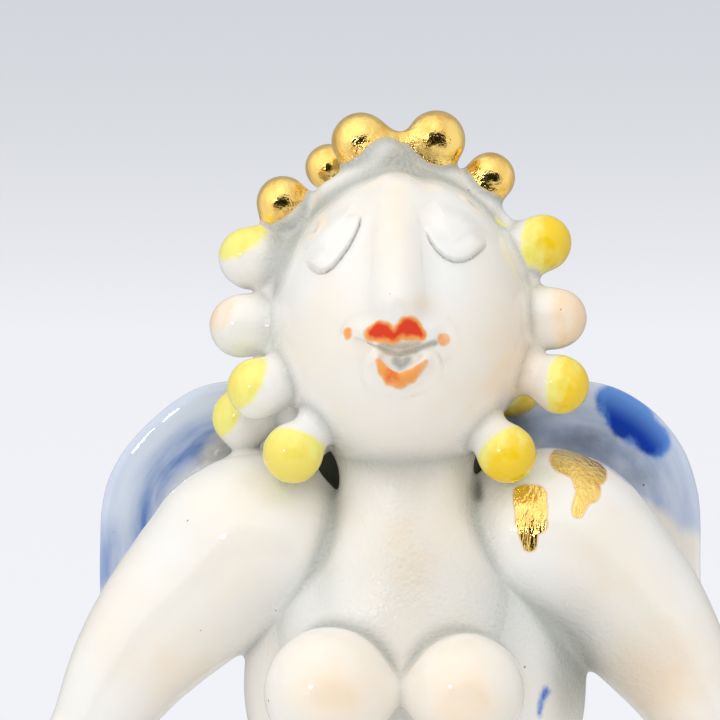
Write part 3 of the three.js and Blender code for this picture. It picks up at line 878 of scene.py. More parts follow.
def pitch_for(name):
    pitch = PITCHES.get(name, DEFAULT_PITCH)
    for kind, fine_pitch in KIND_PITCHES.items():
        if name.startswith(kind):
            pitch = fine_pitch
    return pitch * 1


for name in ("face", "curl_gold_1", "wing_left"):
    print(name, "has a grid step of", pitch_for(name), "mm")

# %% Measure a field block by block, and its slope
SLOPE_STEP = 0.04
BLOCK = 12.0
BLOCK_KEY = 1000
PROBES = np.array([[1, -1, -1], [-1, -1, 1], [-1, 1, -1], [1, 1, 1]], float)


def by_block(field, points):
    cells = np.floor(points / BLOCK).astype(int)
    keys = (cells[:, 0] * BLOCK_KEY + cells[:, 1]) * BLOCK_KEY + cells[:, 2]
    order = np.argsort(keys, kind="stable")
    starts = np.flatnonzero(np.diff(keys[order])) + 1
    values = np.empty(len(points), points.dtype)
    for rows in np.split(order, starts):
        values[rows] = field(points[rows])
    return values


def slope_of(points, field):
    parts = [probe[None] * by_block(field, points + SLOPE_STEP * probe)[:, None] for probe in PROBES]
    return np.sum(parts, axis=0) / (4 * SLOPE_STEP)


def skin_field(points):
    return whole(measure_forms(points)) + wave(points)


print("the skin at the chin faces", slope_of(chin, skin_field).round(2))

# %% Turn a field into a closed mesh
BAND = 4
WALKS = 2
LEAST_SLOPE = 0.25
ROOM = 1.2
PAD_ROOM = (9, 7, 7)


def surface(field, low, high, pitch):
    counts = np.ceil((high - low) / pitch).astype(int) + 1
    axes = [low[k] + pitch * np.arange(counts[k]) for k in range(3)]
    places = np.stack(np.meshgrid(*axes, indexing="ij"), axis=-1).reshape(-1, 3)
    values = np.clip(by_block(field, places.astype(np.float32)), -BAND * pitch, BAND * pitch)
    grid = openvdb.FloatGrid(BAND * pitch)
    grid.copyFromArray(values.reshape(counts).astype(np.float32))
    points, quads = grid.convertToQuads(0.0)
    points = low + np.asarray(points, float) * pitch
    for _ in range(WALKS):
        slope = slope_of(points, field)
        step = by_block(field, points) / np.maximum(np.einsum("ij,ij->i", slope, slope), LEAST_SLOPE)
        points = points - np.clip(step, -pitch, pitch)[:, None] * slope
    return points, np.asarray(quads, int), slope_of(points, skin_field)


def shape_piece(name):
    low, high = forms["face" if name in PADS else name][1:]
    if name in PADS:
        place = PAD_PLACES[name]
        spot = head_place(place[0], face_depth(*place), place[1])
        low, high = spot - PAD_ROOM, spot + PAD_ROOM
    return surface(piece_field(name), low - ROOM, high + ROOM, pitch_for(name))


points, quads, _ = shape_piece("curl_gold_1")
print("one gold curl has", len(quads), "quads")


# %% Put a mesh into the scene, with its faces outwards and the skin's normals
def volume_of(points, quads):
    a, b, c, d = (points[quads[:, k]] for k in range(4))
    return float(np.einsum("ij,ij->", a, np.cross(b, c) + np.cross(c, d))) / 6


def mesh_piece(name, points, quads, slope):
    if volume_of(points, quads) < 0:
        quads = quads[:, ::-1]
    mesh = bpy.data.meshes.new(name)
    mesh.from_pydata((points / 1000).tolist(), [], quads.tolist())
    mesh.polygons.foreach_set("use_smooth", np.ones(len(quads), bool))
    slope = slope / np.maximum(length_of(slope), TINY)[:, None]
    mesh.normals_split_custom_set_from_vertices(slope.tolist())
    piece = bpy.data.objects.new(name + "_glazed", mesh)
    bpy.context.scene.collection.objects.link(piece)
    return piece


print("that curl holds", round(abs(volume_of(points, quads))), "cubic mm of clay")

# %% [markdown]
# ## Pooled glaze and painted shade
# Clear glaze runs into the joints and lies there thick and bluish grey, and the same grey is painted there as
# shade. How deep a point is in a joint is the distance to the next form, which the fields already know. On the
# face it follows the lids' creases and the mouth, drawn as lines, and under the upper lip it is painted shade.
# Soft spots with a place and a spread add painted shade on the chest under the head, beside the neck and on
# the right arm's lower side, and pooled glaze with painted shade along the brow.

# %% Pooled glaze and painted shade in the mouth, painted shade in broad hollows
# Pooled glaze in the slit, and painted shade under the upper lip and down into the valley.
MOUTH_POOL_AND_SHADE_LINES = [
    (SLIT, 0.22, 0.45),
    ([(-2.9, -8.3), (-1.7, -8.8), (-0.6, -9.2), (0.6, -9.0)], 0.45, 0.85),
    ([(-0.5, -9.2), (0.8, -8.8), (2.2, -8.4), (3.8, -7.9)], 0.42, 1.0),
    ([(-2.4, -8.2), (-0.5, -8.5), (1.8, -8.1)], 0.65, 0.85),
    ([(-0.9, -9.8), (-0.3, -10.4), (0.5, -9.8)], 0.72, 0.95),
]
# Painted shade on the chest under the head, beside the neck and on the right arm's lower side; along the brow
# and at the left temple, pooled glaze with painted shade.
SHADE_AND_POOL_SPOTS = [
    ((-3.5, -6, 162.0), (6.0, 9, 2.6), 0.42),
    ((-0.6, -7, 161.8), (1.6, 9, 1.8), 0.6),
    ((1.4, -8, 159.8), (3.6, 9, 1.6), 0.36),
    ((-9.0, -6, 156.6), (3.0, 6, 2.4), 0.3),
    ((-14.6, -3, 149.8), (2.8, 7, 4.0), 0.5),
    ((-9.5, -6, 112.0), (2.0, 9, 8.0), 0.4),
    ((0.4, -14, 111.0), (9.0, 9, 8.5), 0.42),
    ((0.4, -12, 123.0), (9.0, 9, 5.0), 0.36),
    ((22.0, -10, 107.0), (7.0, 12, 7.0), 0.3),
    ((20.5, -6, 97.5), (3.6, 8, 8.0), 0.75),
    ((11.4, -6, 117.5), (2.0, 8, 5.0), 0.35),
    ((29.0, -8, 98.0), (8.0, 12, 8.5), 0.48),
]
print(len(MOUTH_POOL_AND_SHADE_LINES), "lines of glaze in the mouth,", len(SHADE_AND_POOL_SPOTS), "broad spots")

# %% [markdown]
# ## Painted shade in the recesses, and blush
# The deep recesses, such as the gap between neck, wing and shoulder, are painted near black as shade, and a
# peach blush lies on the skin. Both are soft spots again. A negative blush is a bluish painted shadow beside
# the nose.

# %% Spots of painted shade and blushed spots
# Painted shade: near black in the gaps beside the neck, grey under the curls on the wings, in the neck crease
# and between the bust balls.
RECESS_SHADE_SPOTS = [
    ((-9.3, 9.5, 122.5), (4.2, 6.5, 6.5), 1.0),
    ((12.0, 9.5, 121.5), (4.5, 6.5, 6.5), 1.0),
    ((-21.5, 12, 124.6), (6.0, 6, 4.4), 0.6),
    ((14.8, 6, 129.6), (3.6, 8, 3.6), 0.62),
    ((23.5, 12, 125.6), (6.5, 6, 3.8), 0.5),
    ((31.0, 14, 121.5), (4.5, 4, 4.5), 0.36),
    ((9.5, -6.0, 120.4), (0.9, 7, 2.4), 0.6),
    ((-0.5, -13.5, 101.0), (1.3, 2.5, 1.4), 0.9),
]
BLUSH = [
    ((13.5, -10, 137.0), (3.4, 9, 7.5), 1.0),
    ((9.0, -16, 133.5), (6.0, 9, 5.5), 0.6),
    ((-10.5, -16, 140.5), (5.0, 9, 4.0), 0.2),
    ((-0.9, -12, 154.0), (1.6, 9, 8.0), 0.6),
    ((2.2, -20, 143.6), (2.2, 5, 1.6), 0.75),
    # A negative strength paints a bluish shadow beside the nose.
    ((5.0, -16, 149.0), (3.2, 9, 6.5), -0.8),
    ((-0.9, -20, 138.4), (3.4, 5, 1.2), 0.75),
    ((0.5, -13, 114.0), (5.5, 9, 9.0), 0.6),
    ((-8.2, -24, 97.5), (4.8, 9, 4.8), 1.0),
    ((7.0, -24, 96.5), (5.2, 9, 5.4), 1.0),
    ((-21.0, -12, 111.0), (6.0, 9, 8.0), 0.35),
    ((-30.0, -8, 98.5), (6.0, 9, 5.0), 0.6),
    ((25.0, -12, 110.5), (6.0, 9, 5.0), 0.45),
    ((31.5, -8, 97.5), (6.5, 9, 6.5), 1.0),
]
print(len(RECESS_SHADE_SPOTS), "shaded spots,", len(BLUSH), "spots of blush")

# %% Depth of pooled glaze and painted shade at each corner
POOL_AND_SHADE_WIDTH = 1.3
POOL_AND_SHADE_LIFT = 0.2
CREASE_POOL_AND_SHADE_WIDTH = 0.17
CREASE_PLACE = 0.12
CREASE_DEPTH = 0.5


def gets_no_pool_or_shade(one, other):
    return "nose" in (one, other) or ("arm" in one and "arm" in other)


# Pooled glaze and painted shade in the joints: the nearer the next form, the darker.
def pool_and_shade_depth(near, owner):
    own = near[owner]
    others = [d for name, d in near.items() if name != owner and not gets_no_pool_or_shade(name, owner)]
    if not others:
        return np.zeros(len(own))
    rival = np.min(others, axis=0)
    return np.exp(-np.maximum(rival - np.minimum(own, POOL_AND_SHADE_LIFT), 0) / POOL_AND_SHADE_WIDTH)


# Pooled glaze and painted shade in the lids' creases and along the mouth's lines.
def feature_pool_and_shade(points):
    across, out, up = head_coordinates(points)
    pools = [strength * ridge(across, up, line, width) for line, width, strength in MOUTH_POOL_AND_SHADE_LINES]
    pool_and_shade = np.max(pools, axis=0)
    for name in LIDS:
        inside, crisp = lid_place(name, across, up)
        crease = np.exp(-(((inside + CREASE_PLACE) / CREASE_POOL_AND_SHADE_WIDTH) ** 2))
        pool_and_shade = np.maximum(pool_and_shade, CREASE_DEPTH * crisp * crease)
    return np.where(out > PAD_FRONT, pool_and_shade, 0)


def soft_spots(points, spots):
    total = np.zeros(len(points))
    for centre, spread, strength in spots:
        total += strength * np.exp(-np.sum(((points - centre) / spread) ** 2, axis=1))
    return np.clip(total, -1, 1)


def glaze_and_shade_depth(name, near, points):
    pool_and_shade = pool_and_shade_depth(near, "face" if name in PADS else name)
    if name in ("face", *PADS):
        pool_and_shade = np.maximum(pool_and_shade, feature_pool_and_shade(points))
    return np.minimum(pool_and_shade + soft_spots(points, SHADE_AND_POOL_SPOTS), 1)


throat = head_place(0, 9.0, -16.0)[None]
print("glaze under the chin:", glaze_and_shade_depth("face", measure_forms(throat), throat).round(2))

# %% [markdown]
# ## Brush marks
# The painter's colours are stored as the signed distance in millimetres to the edge of the brush mark: a
# shader can fray such an edge with noise, and it stays sharp however coarse the mesh is. Each curl was dipped
# or brushed on its outer side only, and the colour stops at a line that leaves the ball's neck white. Its mark
# is a half space through the ball: the turn of its direction as seen from the front, and how far from the
# middle its line runs. It leans forwards, so that the line is a curve round the ball.

# %% Marks on the curls
CURL_MARKS = {
    "curl_gold_1": (-41, -0.5),
    "curl_gold_2": (-30, -0.6),
    "curl_gold_3": (-40, -0.5),
    "curl_gold_4": (10, -1.3),
    "curl_gold_5": (20, -1.1),
    "curl_yellow_1": (85, -0.72),
    "curl_peach_1": (85, -0.3),
    "curl_yellow_2": (96, -0.5),
    "curl_yellow_3": (140, -0.75),
    "curl_yellow_4": (-160, -0.8),
    "curl_yellow_5": (-62, -0.08),
    "curl_yellow_6": (-65, 0.05),
    "curl_peach_2": (-58, 0.4),
    "curl_yellow_7": (-30, 0.15),
}
BACK_MARK = -0.35
MARK_LEAN = math.radians(24)
GOLD_REACH = 1.1
BORDER_ROOM = 0.12
WEB_GOLD = 1.4


def curl_mark(points, name, near):
    root, ball, radius = curls[name]
    if name in CURL_MARKS:
        turn, offset = CURL_MARKS[name]
        turn = math.radians(turn)
        lean = math.cos(MARK_LEAN)
        way = np.array([math.sin(turn) * lean, -math.sin(MARK_LEAN), math.cos(turn) * lean])
        offset = math.cos(math.acos(offset) - MARK_LEAN) if abs(offset) < 1 else offset
    else:
        offset = BACK_MARK
        way = (ball - root) / np.linalg.norm(ball - root)
    inside = (points - ball) @ way - offset * radius
    if slots[name] == "gold_lustre":
        inside = np.minimum(inside, GOLD_REACH * radius - length_of(points - ball))
    if name in ("curl_gold_3", "curl_gold_4"):
        inside = np.maximum(inside, WEB_GOLD - web_distance(points))
    unlike = [d for other, d in near.items() if slots[other] != slots[name]]
    if unlike:
        inside = np.minimum(inside, np.min(unlike, axis=0) - near[name] - OVERLAP - BORDER_ROOM)
    return inside


front = (curls["curl_gold_4"][1] - (0, CURL_RADIUS, 0))[None]
gold_reach = curl_mark(front, "curl_gold_4", measure_forms(front))
print("gold at a ball's front:", gold_reach.round(1), "mm past its edge")

# %% [markdown]
# ## Painted lines and dabs
# The lips, the two gold dabs on the shoulder and the small strokes are lines with a width at each point,
# laid on the surface as seen from the front. The mouth's corners are two dots, and the lower lip is a thin
# ring, open at the top.

# %% The lips' marks
UPPER_MARKS = [
    ([(-3.9, -7.0), (-3.1, -6.85), (-2.3, -7.05), (-1.2, -7.5)], [1.05, 1.28, 1.22, 0.9]),
    ([(-1.2, -7.5), (-0.2, -6.95), (0.4, -6.7), (1.15, -6.65), (2.15, -7.15)], [0.9, 1.1, 1.4, 1.38, 0.9]),
]
LOWER_LINE = [(-3.0, -10.2), (-2.5, -11.1), (-1.6, -11.95), (-0.4, -12.3), (0.9, -11.85)]
LOWER_MARKS = [
    (LOWER_LINE, [0.64, 0.85, 1.0, 1.04, 0.95]),
    ([(0.9, -11.85), (1.9, -11.05), (2.7, -10.35)], [0.95, 0.72, 0.56]),
    ([(-6.75, -6.35), (-6.7, -6.8)], [0.75, 0.7]),
    ([(4.8, -7.45), (5.05, -7.3)], [0.95, 0.86]),
]
LOWER_THINNESS = 0.22
LOWER_BODY = 0.26
LOWER_RISE = 0.4
LIPS_FRONT = 8
CHIN_HEIGHT = 126
BARE = -5.0


def front_marks(points, marks, first=0, second=2):
    gaps = [line_distance(points[:, first], points[:, second], line, radii) for line, radii in marks]
    return -np.min(gaps, axis=0)


def lip_mark(points):
    across, out, up = head_coordinates(points)
    flat = np.column_stack([across, up])
    lower = front_marks(flat, LOWER_MARKS, 0, 1)
    body = lower * LOWER_THINNESS + LOWER_BODY * ease(lower, 0, LOWER_RISE)
    coral = np.maximum(front_marks(flat, UPPER_MARKS, 0, 1), np.where(lower > 0, body, lower))
    return np.where((out > LIPS_FRONT) & (points[:, 2] > CHIN_HEIGHT), coral, BARE)


print("coral on the upper lip:", lip_mark(head_place(-3.0, 15.0, -6.9)[None]).round(2), "mm past its edge")

# %% Marks on the shoulder, skull and trunk
GOLD_MARKS = [
    ([(14.6, 120.3), (16.6, 120.2)], [0.9, 0.9]),
    ([(15.0, 120.0), (15.3, 116.4)], [1.3, 1.3]),
    ([(16.4, 120.0), (16.5, 116.6)], [1.3, 1.2]),
    ([(15.4, 116.0), (15.6, 114.0)], [1.25, 0.8]),
    ([(19.8, 124.2), (22.0, 123.5), (24.2, 122.6)], [1.35, 1.7, 1.3]),
    ([(22.4, 123.0), (23.0, 120.6)], [1.6, 1.5]),
    ([(22.6, 120.6), (21.6, 118.1)], [1.1, 0.75]),
]
SKULL_DAB = ([(12.3, 154.3), (13.8, 154.6)], [0.62, 0.5])
TRUNK_STROKE = ([(17.7, 95.9), (17.2, 94.3), (16.9, 93.0)], [0.5, 0.34, 0.12])
SKIN_FRONT = -2
ARM_FRONT = -1


def only_in_front(points, marks, limit):
    if not marks:
        return np.full(len(points), BARE)
    return np.where(points[:, 1] < limit, front_marks(points, marks), BARE)


print(len(GOLD_MARKS), "strokes make the two gold dabs")

# %% [markdown]
# ## The wash on the wings
# The wings' cobalt wash is a band along the rim. It starts at a share of the way from the petal's middle to
# its rim, gets narrower towards both ends, and stops at a turn round the petal. How blue it is changes across
# the band, and on the left wing it is deep along its inner side, at the rim and at its low end. On the right
# wing the band reaches far in, and its deeper blue over the inner side, behind the head and shoulder, is
# painted shade. The turn and the distance from the middle are stored too, so that the brush's streaks can
# follow the rim.

# %% The wings' bands, dab and tint
WING_BANDS = {"left": (60, 90, 0.49, 0.0016, 0.0065), "right": (70, 78, 0.2, 0.0135, 0.0)}
WING_LOW_TURN = 40
WING_TOP_TURN = 60
WING_END_SOFTNESS = 0.25
WING_DAB = ([(27.3, 131.5), (30.0, 129.0), (33.2, 126.0)], [2.1, 3.0, 2.0])
WING_DAB_BACK = 15
LEFT_INNER_WASH = (14.6, 3.8)
LEFT_RIM_WASH = (14.8, 16.6)
LEFT_LOW_WASH = (118.0, 6.0)
LEFT_TINTS = (0.1, 1.0, 0.2, 0.5)
RIGHT_RIM_WASH = (12, 15)
# The right wing's deeper tint over its inner side is painted shade, lighter towards the rim.
RIGHT_TINTS_AND_SHADE = (0.62, 0.25)


def wing_mark(word, radius, turn, reach):
    middle, half, inner_share, low_narrowing, top_narrowing = WING_BANDS[word]
    degrees = np.degrees(turn)
    inner = radius / reach - inner_share - low_narrowing * np.maximum(WING_LOW_TURN - degrees, 0)
    inner = (inner - top_narrowing * np.maximum(degrees - WING_TOP_TURN, 0)) * WING_HALF[0]
    away = np.abs((degrees - middle + 180) % 360 - 180)
    return np.minimum(inner, (half - away) * WING_END_SOFTNESS)


def wing_tint(word, points, across):
    if word == "right":
        # Painted shade: the right wing's wash deepens over its inner side.
        return RIGHT_TINTS_AND_SHADE[0] - RIGHT_TINTS_AND_SHADE[1] * ease(across, *RIGHT_RIM_WASH)
    inner = ease(LEFT_INNER_WASH[0] - across, 0, LEFT_INNER_WASH[1])
    rim = ease(across, *LEFT_RIM_WASH)
    low_end = ease(LEFT_LOW_WASH[0] - points[:, 2], 0, LEFT_LOW_WASH[1])
    plain, inner_tint, rim_tint, low_tint = LEFT_TINTS
    return plain + inner_tint * inner + rim_tint * rim + low_tint * low_end


def wing_values(word, points):
    _, radius, turn, reach = wing_place(points, SIDES[word])
    across = radius / reach * WING_HALF[0]
    dab = only_in_front(points, [WING_DAB] if word == "right" else [], WING_DAB_BACK)
    values = {"cobalt": wing_mark(word, radius, turn, reach), "dab": dab}
    values.update(along=turn * WING_HALF[0], across=across, tint=wing_tint(word, points, across))
    return values


print("the dab on the right wing has", len(WING_DAB[0]), "points")

# %% [markdown]
# ## Glaze and overglaze colours
# Every surface is the same clear glaze over warm white porcelain, so one function makes all the materials:
# a white with faint warm and cool clouds, bluish grey where the glaze pools, a peach blush, and small iron
# specks from the clay, found with a Voronoi texture whose cells hold one dot each. A few helpers first keep
# the node trees short to write.

# %% Node helpers
def new_tree(name):
    material = bpy.data.materials.new(name)
    material.use_nodes = True
    material.node_tree.nodes.clear()
    return material, material.node_tree


def add_node(tree, kind, inputs=None, **settings):
    node = tree.nodes.new(kind)
    for key, value in settings.items():
        setattr(node, key, value)
    for key, value in (inputs or {}).items():
        if isinstance(value, bpy.types.NodeSocket):
            tree.links.new(value, node.inputs[key])
        else:
            node.inputs[key].default_value = value
    return node


def maths(tree, operation, *values, clamp=False):
    return add_node(
        tree, "ShaderNodeMath", dict(enumerate(values)), operation=operation, use_clamp=clamp
    ).outputs[0]


def between(tree, value, low, high, to_low=0.0, to_high=1.0):
    inputs = {"Value": value, "From Min": low, "From Max": high, "To Min": to_low, "To Max": to_high}
    return add_node(tree, "ShaderNodeMapRange", inputs, interpolation_type="SMOOTHSTEP").outputs["Result"]


def mix_colour(tree, factor, first, second):
    return add_node(tree, "ShaderNodeMix", {0: factor, 6: first, 7: second}, data_type="RGBA").outputs[2]


def noise(tree, vector, scale, detail=3.0, roughness=0.5):
    inputs = {"Vector": vector, "Scale": scale, "Detail": detail, "Roughness": roughness}
    return add_node(tree, "ShaderNodeTexNoise", inputs).outputs["Fac"]


def attribute(tree, name):
    return add_node(tree, "ShaderNodeAttribute", attribute_name=name).outputs["Fac"]


def bump(tree, height, strength, distance, below=None):
    inputs = {"Height": height, "Strength": strength, "Distance": distance}
    if below is not None:
        inputs["Normal"] = below
    return add_node(tree, "ShaderNodeBump", inputs).outputs[0]


print("seven helpers, each adds a node and hands back its output")

# %% The porcelain under all the colours
WHITE = (0.885, 0.875, 0.845, 1)
WARM_WHITE = (0.885, 0.845, 0.775, 1)
COOL_WHITE = (0.82, 0.85, 0.845, 1)
# Pooled glaze and painted shade share these greys, warmer where the skin is blushed.
POOL_AND_SHADE_GREY = (0.43, 0.455, 0.425, 1)
WARM_POOL_AND_SHADE = (0.47, 0.41, 0.32, 1)
# Painted shade for the deep recesses, near black.
RECESS_SHADE_GREY = (0.05, 0.052, 0.042, 1)
# A bluish painted shadow, laid beside the nose by a negative blush.
PEACH = (0.92, 0.72, 0.50, 1)
NOSE_SHADOW_BLUE = (0.865, 0.895, 0.92, 1)
IRON = (0.07, 0.05, 0.04, 1)
SPECK_SCALE = 290.0


def porcelain_colour(tree, place):
    clouds = between(tree, noise(tree, place, 90, 2), 0.35, 0.65)
    colour = mix_colour(tree, clouds, WARM_WHITE, WHITE)
    cool = between(tree, noise(tree, place, 55, 2), 0.5, 0.72, 0, 0.5)
    colour = mix_colour(tree, cool, colour, COOL_WHITE)
    streaks = between(tree, noise(tree, place, 260, 4), 0.2, 0.8, 0.5, 1)
    blush = maths(tree, "MULTIPLY", attribute(tree, "blush"), streaks)
    colour = mix_colour(tree, maths(tree, "MULTIPLY", blush, 0.9, clamp=True), colour, PEACH)
    # A negative blush paints the bluish shadow beside the nose.
    colour = mix_colour(tree, maths(tree, "MULTIPLY", blush, -1.0, clamp=True), colour, NOSE_SHADOW_BLUE)
    # Pooled glaze and painted shade in joints, creases and hollows.
    pool_and_shade = between(tree, attribute(tree, "pool_and_shade"), 0.12, 1.0, 0, 0.85)
    warm = maths(tree, "MULTIPLY", attribute(tree, "blush"), 1.6, clamp=True)
    return mix_colour(tree, pool_and_shade, colour, mix_colour(tree, warm, POOL_AND_SHADE_GREY, WARM_POOL_AND_SHADE))


# Painted shade: the recesses' soft spots darken the colour towards near black, with a little cloudy noise.
def shaded_recess(tree, place, colour):
    cloudy = maths(tree, "MULTIPLY", maths(tree, "SUBTRACT", noise(tree, place, 450, 3), 0.5), 0.3)
    recess_shade = maths(tree, "ADD", attribute(tree, "recess_shade"), cloudy)
    return mix_colour(tree, between(tree, recess_shade, 0.15, 0.85), colour, RECESS_SHADE_GREY)


def iron_specks(tree, place):
    cells = add_node(tree, "ShaderNodeTexVoronoi", {"Vector": place, "Scale": SPECK_SCALE})
    size = between(tree, noise(tree, place, 900, 1), 0.35, 0.7, 0.01, 0.06)
    dot = maths(tree, "SUBTRACT", size, cells.outputs["Distance"])
    return between(tree, dot, 0.0, 0.03, 0, 0.75)


print("one speck at most in each", round(1000 / SPECK_SCALE, 1), "mm of clay")

# %% [markdown]
# ## Brushing a colour on
# A brush mark starts from its stored distance, is frayed by noise, and is thin at its rim and deeper in the
# middle of the stroke. Each colour has a thin and a deep tone, and its own edge.

# %% The colours and their edges
MARKS = {
    "yellow": {"thin": (0.91, 0.86, 0.22, 1), "deep": (0.92, 0.63, 0.01, 1)},
    "peach": {"thin": (0.92, 0.80, 0.65, 1), "deep": (0.92, 0.69, 0.48, 1)},
    "coral": {"thin": (0.93, 0.38, 0.09, 1), "deep": (0.80, 0.05, 0.01, 1)},
    "cobalt": {"thin": (0.71, 0.78, 0.89, 1), "deep": (0.13, 0.24, 0.56, 1)},
    "dab": {"thin": (0.13, 0.30, 0.74, 1), "deep": (0.010, 0.050, 0.42, 1)},
    "gold": {"thin": (0.97, 0.70, 0.22, 1), "deep": (0.78, 0.44, 0.10, 1)},
}
EDGES = {
    "yellow": {"fray": 0.8, "edge": 0.45, "gain": 0.12, "bias": -0.1},
    "peach": {"fray": 1.6, "edge": 0.7, "gain": 0.06, "bias": 0.0},
    "coral": {"fray": 0.5, "edge": 0.22, "gain": 0.75, "bias": -0.36},
    "cobalt": {"fray": 1.6, "edge": 1.3, "gain": 0.0, "bias": 0.0},
    "dab": {"fray": 1.1, "edge": 0.5, "gain": 0.2, "bias": 0.05},
    "gold": {"fray": 0.35, "edge": 0.05, "gain": 0.0, "bias": 0.0},
}
print("colours on the palette:", *MARKS)

# %% Lay one colour over another
STAIN = (0.80, 0.42, 0.13, 1)
STROKE_SCALE = 520
STROKE_SQUEEZE = (1.0, 1.0, 0.35)
FRAY_SCALE = 700
STREAK_ALONG = 0.00012
STREAK_ACROSS = 0.0008
CORAL_SHRINK = 0.22


def round_the_wing(tree):
    along = maths(tree, "MULTIPLY", attribute(tree, "along"), STREAK_ALONG)
    across = maths(tree, "MULTIPLY", attribute(tree, "across"), STREAK_ACROSS)
    return add_node(tree, "ShaderNodeCombineXYZ", {0: along, 1: across}).outputs[0]


def brush_depth(tree, place, name, inside):
    squeeze = add_node(tree, "ShaderNodeMapping", {"Vector": place, "Scale": STROKE_SQUEEZE})
    strokes = noise(tree, squeeze.outputs[0], STROKE_SCALE, 3)
    strokes = maths(tree, "ADD", strokes, EDGES[name]["bias"])
    if name == "cobalt":
        depth = between(tree, strokes, 0.25, 0.75, 0.3, 1.0)
        return maths(tree, "MULTIPLY", depth, attribute(tree, "tint"))
    middle = maths(tree, "MULTIPLY", inside, EDGES[name]["gain"])
    depth = between(tree, maths(tree, "ADD", strokes, middle), 0.42, 0.8)
    if name == "yellow":
        x = add_node(tree, "ShaderNodeSeparateXYZ", {0: place}).outputs[0]
        depth = maths(tree, "MULTIPLY", depth, between(tree, x, -0.014, 0.004, 0.4, 1))
    if name == "dab":
        pale_rim = between(tree, attribute(tree, "across"), 13.2, 16.4, 1, 0.05)
        depth = maths(tree, "MULTIPLY", depth, pale_rim)
    return depth


def brushed(tree, place, name, colour):
    place = round_the_wing(tree) if name == "cobalt" else place
    ragged = maths(tree, "SUBTRACT", noise(tree, place, FRAY_SCALE, 4), 0.5)
    ragged = maths(tree, "MULTIPLY", ragged, EDGES[name]["fray"])
    inside = maths(tree, "ADD", attribute(tree, name), ragged)
    shrink, edge = CORAL_SHRINK if name == "coral" else 0.0, EDGES[name]["edge"]
    mask = between(tree, inside, shrink - edge, shrink + edge)
    if name == "gold":
        colour = mix_colour(tree, between(tree, inside, -0.32, 0.05, 0, 0.75), colour, STAIN)
    tone = mix_colour(tree, brush_depth(tree, place, name, inside), MARKS[name]["thin"], MARKS[name]["deep"])
    return mix_colour(tree, mask, colour, tone), mask


print("gold's edge is", EDGES["gold"]["edge"], "mm wide, the wash's", EDGES["cobalt"]["edge"], "mm")

# %% [markdown]
# ## The fired surface
# Where glaze pools it has fine pits, and everywhere a very faint ripple. Fired gold is a metal film, so its
# layer turns the shader metallic and hides the specks. It has a crumbly grain on the balls and long brush
# streaks on the shoulder. These small bumps break up the reflections as on a real fired surface.

# %% One function for all glazed materials
GLAZE_IOR = 1.5
INK_IOR = 1.3
GLAZE_ROUGHNESS = 0.06
GOLD_ROUGHNESS = 0.1
GOLD_DRAW = (1.0, 1.0, 0.18)
GOLD_GRAIN = {"balls": (0.15, 0.8), "shoulder": (3.2, 0.35)}


def glaze_bump(tree, place):
    ripple = bump(tree, noise(tree, place, 420, 2), 0.05, 0.0006)
    pits = maths(tree, "MULTIPLY", noise(tree, place, 1700, 3), attribute(tree, "pool_and_shade"))
    return bump(tree, pits, 0.9, 0.00035, ripple)


def gold_bump(tree, place, gold, where, below):
    streak_height, crumb_height = GOLD_GRAIN[where]
    drawn = add_node(tree, "ShaderNodeMapping", {"Vector": place, "Scale": GOLD_DRAW})
    streaks = maths(tree, "SUBTRACT", noise(tree, drawn.outputs[0], 1700, 3), 0.5)
    streaks = maths(tree, "MULTIPLY", streaks, streak_height)
    crumbs = maths(tree, "SUBTRACT", noise(tree, place, 1300, 3, 0.6), 0.5)
    crumbs = maths(tree, "MULTIPLY", crumbs, crumb_height)
    grit = maths(tree, "MULTIPLY", maths(tree, "ADD", crumbs, streaks), gold)
    return bump(tree, grit, 0.9, 0.0001, below)


def glazed_material(name, marks=()):
    material, tree = new_tree(name)
    place = add_node(tree, "ShaderNodeTexCoord").outputs["Object"]
    colour, masks = porcelain_colour(tree, place), {}
    for mark in marks:
        colour, masks[mark] = brushed(tree, place, mark, colour)
    gold, ink = masks.get("gold"), masks.get("coral", masks.get("dab"))
    colour = shaded_recess(tree, place, colour)
    specks = iron_specks(tree, place)
    normal = glaze_bump(tree, place)
    shader = add_node(tree, "ShaderNodeBsdfPrincipled", {"IOR": GLAZE_IOR, "Roughness": GLAZE_ROUGHNESS})
    if ink is not None:
        tree.links.new(between(tree, ink, 0, 1, GLAZE_IOR, INK_IOR), shader.inputs["IOR"])
    if gold is not None:
        specks = maths(tree, "MULTIPLY", specks, maths(tree, "SUBTRACT", 1.0, gold))
        tree.links.new(gold, shader.inputs["Metallic"])
        rough = between(tree, gold, 0, 1, GLAZE_ROUGHNESS, GOLD_ROUGHNESS)
        tree.links.new(rough, shader.inputs["Roughness"])
        normal = gold_bump(tree, place, gold, "shoulder" if "coral" in marks else "balls", normal)
    tree.links.new(mix_colour(tree, specks, colour, IRON), shader.inputs["Base Color"])
    tree.links.new(normal, shader.inputs["Normal"])
    output = add_node(tree, "ShaderNodeOutputMaterial")
    tree.links.new(shader.outputs[0], output.inputs[0])
    return material


materials = {
    "porcelain": glazed_material("porcelain_glaze", ["yellow", "dab"]),
    "blushed_porcelain": glazed_material("blushed_glaze", ["coral", "gold"]),
    "coral_glaze": glazed_material("lip_glaze", ["coral"]),
    "cobalt_wash": glazed_material("cobalt_wash", ["cobalt", "dab"]),
    "yellow_glaze": glazed_material("yellow_brushed_glaze", ["yellow"]),
    "peach_glaze": glazed_material("peach_brushed_glaze", ["peach"]),
    "gold_lustre": glazed_material("gold_lustre", ["gold"]),
}
print("materials", len(materials))

# %% [markdown]
# ## Make the pieces
# With fields, marks and glazes ready, each node's piece is built, painted and put on its body. Small parts
# with crisp detail get a fine grid, the big smooth ones a coarser grid.

# %% The brush marks of each piece
WING_BACK = (13.5, 15.5)


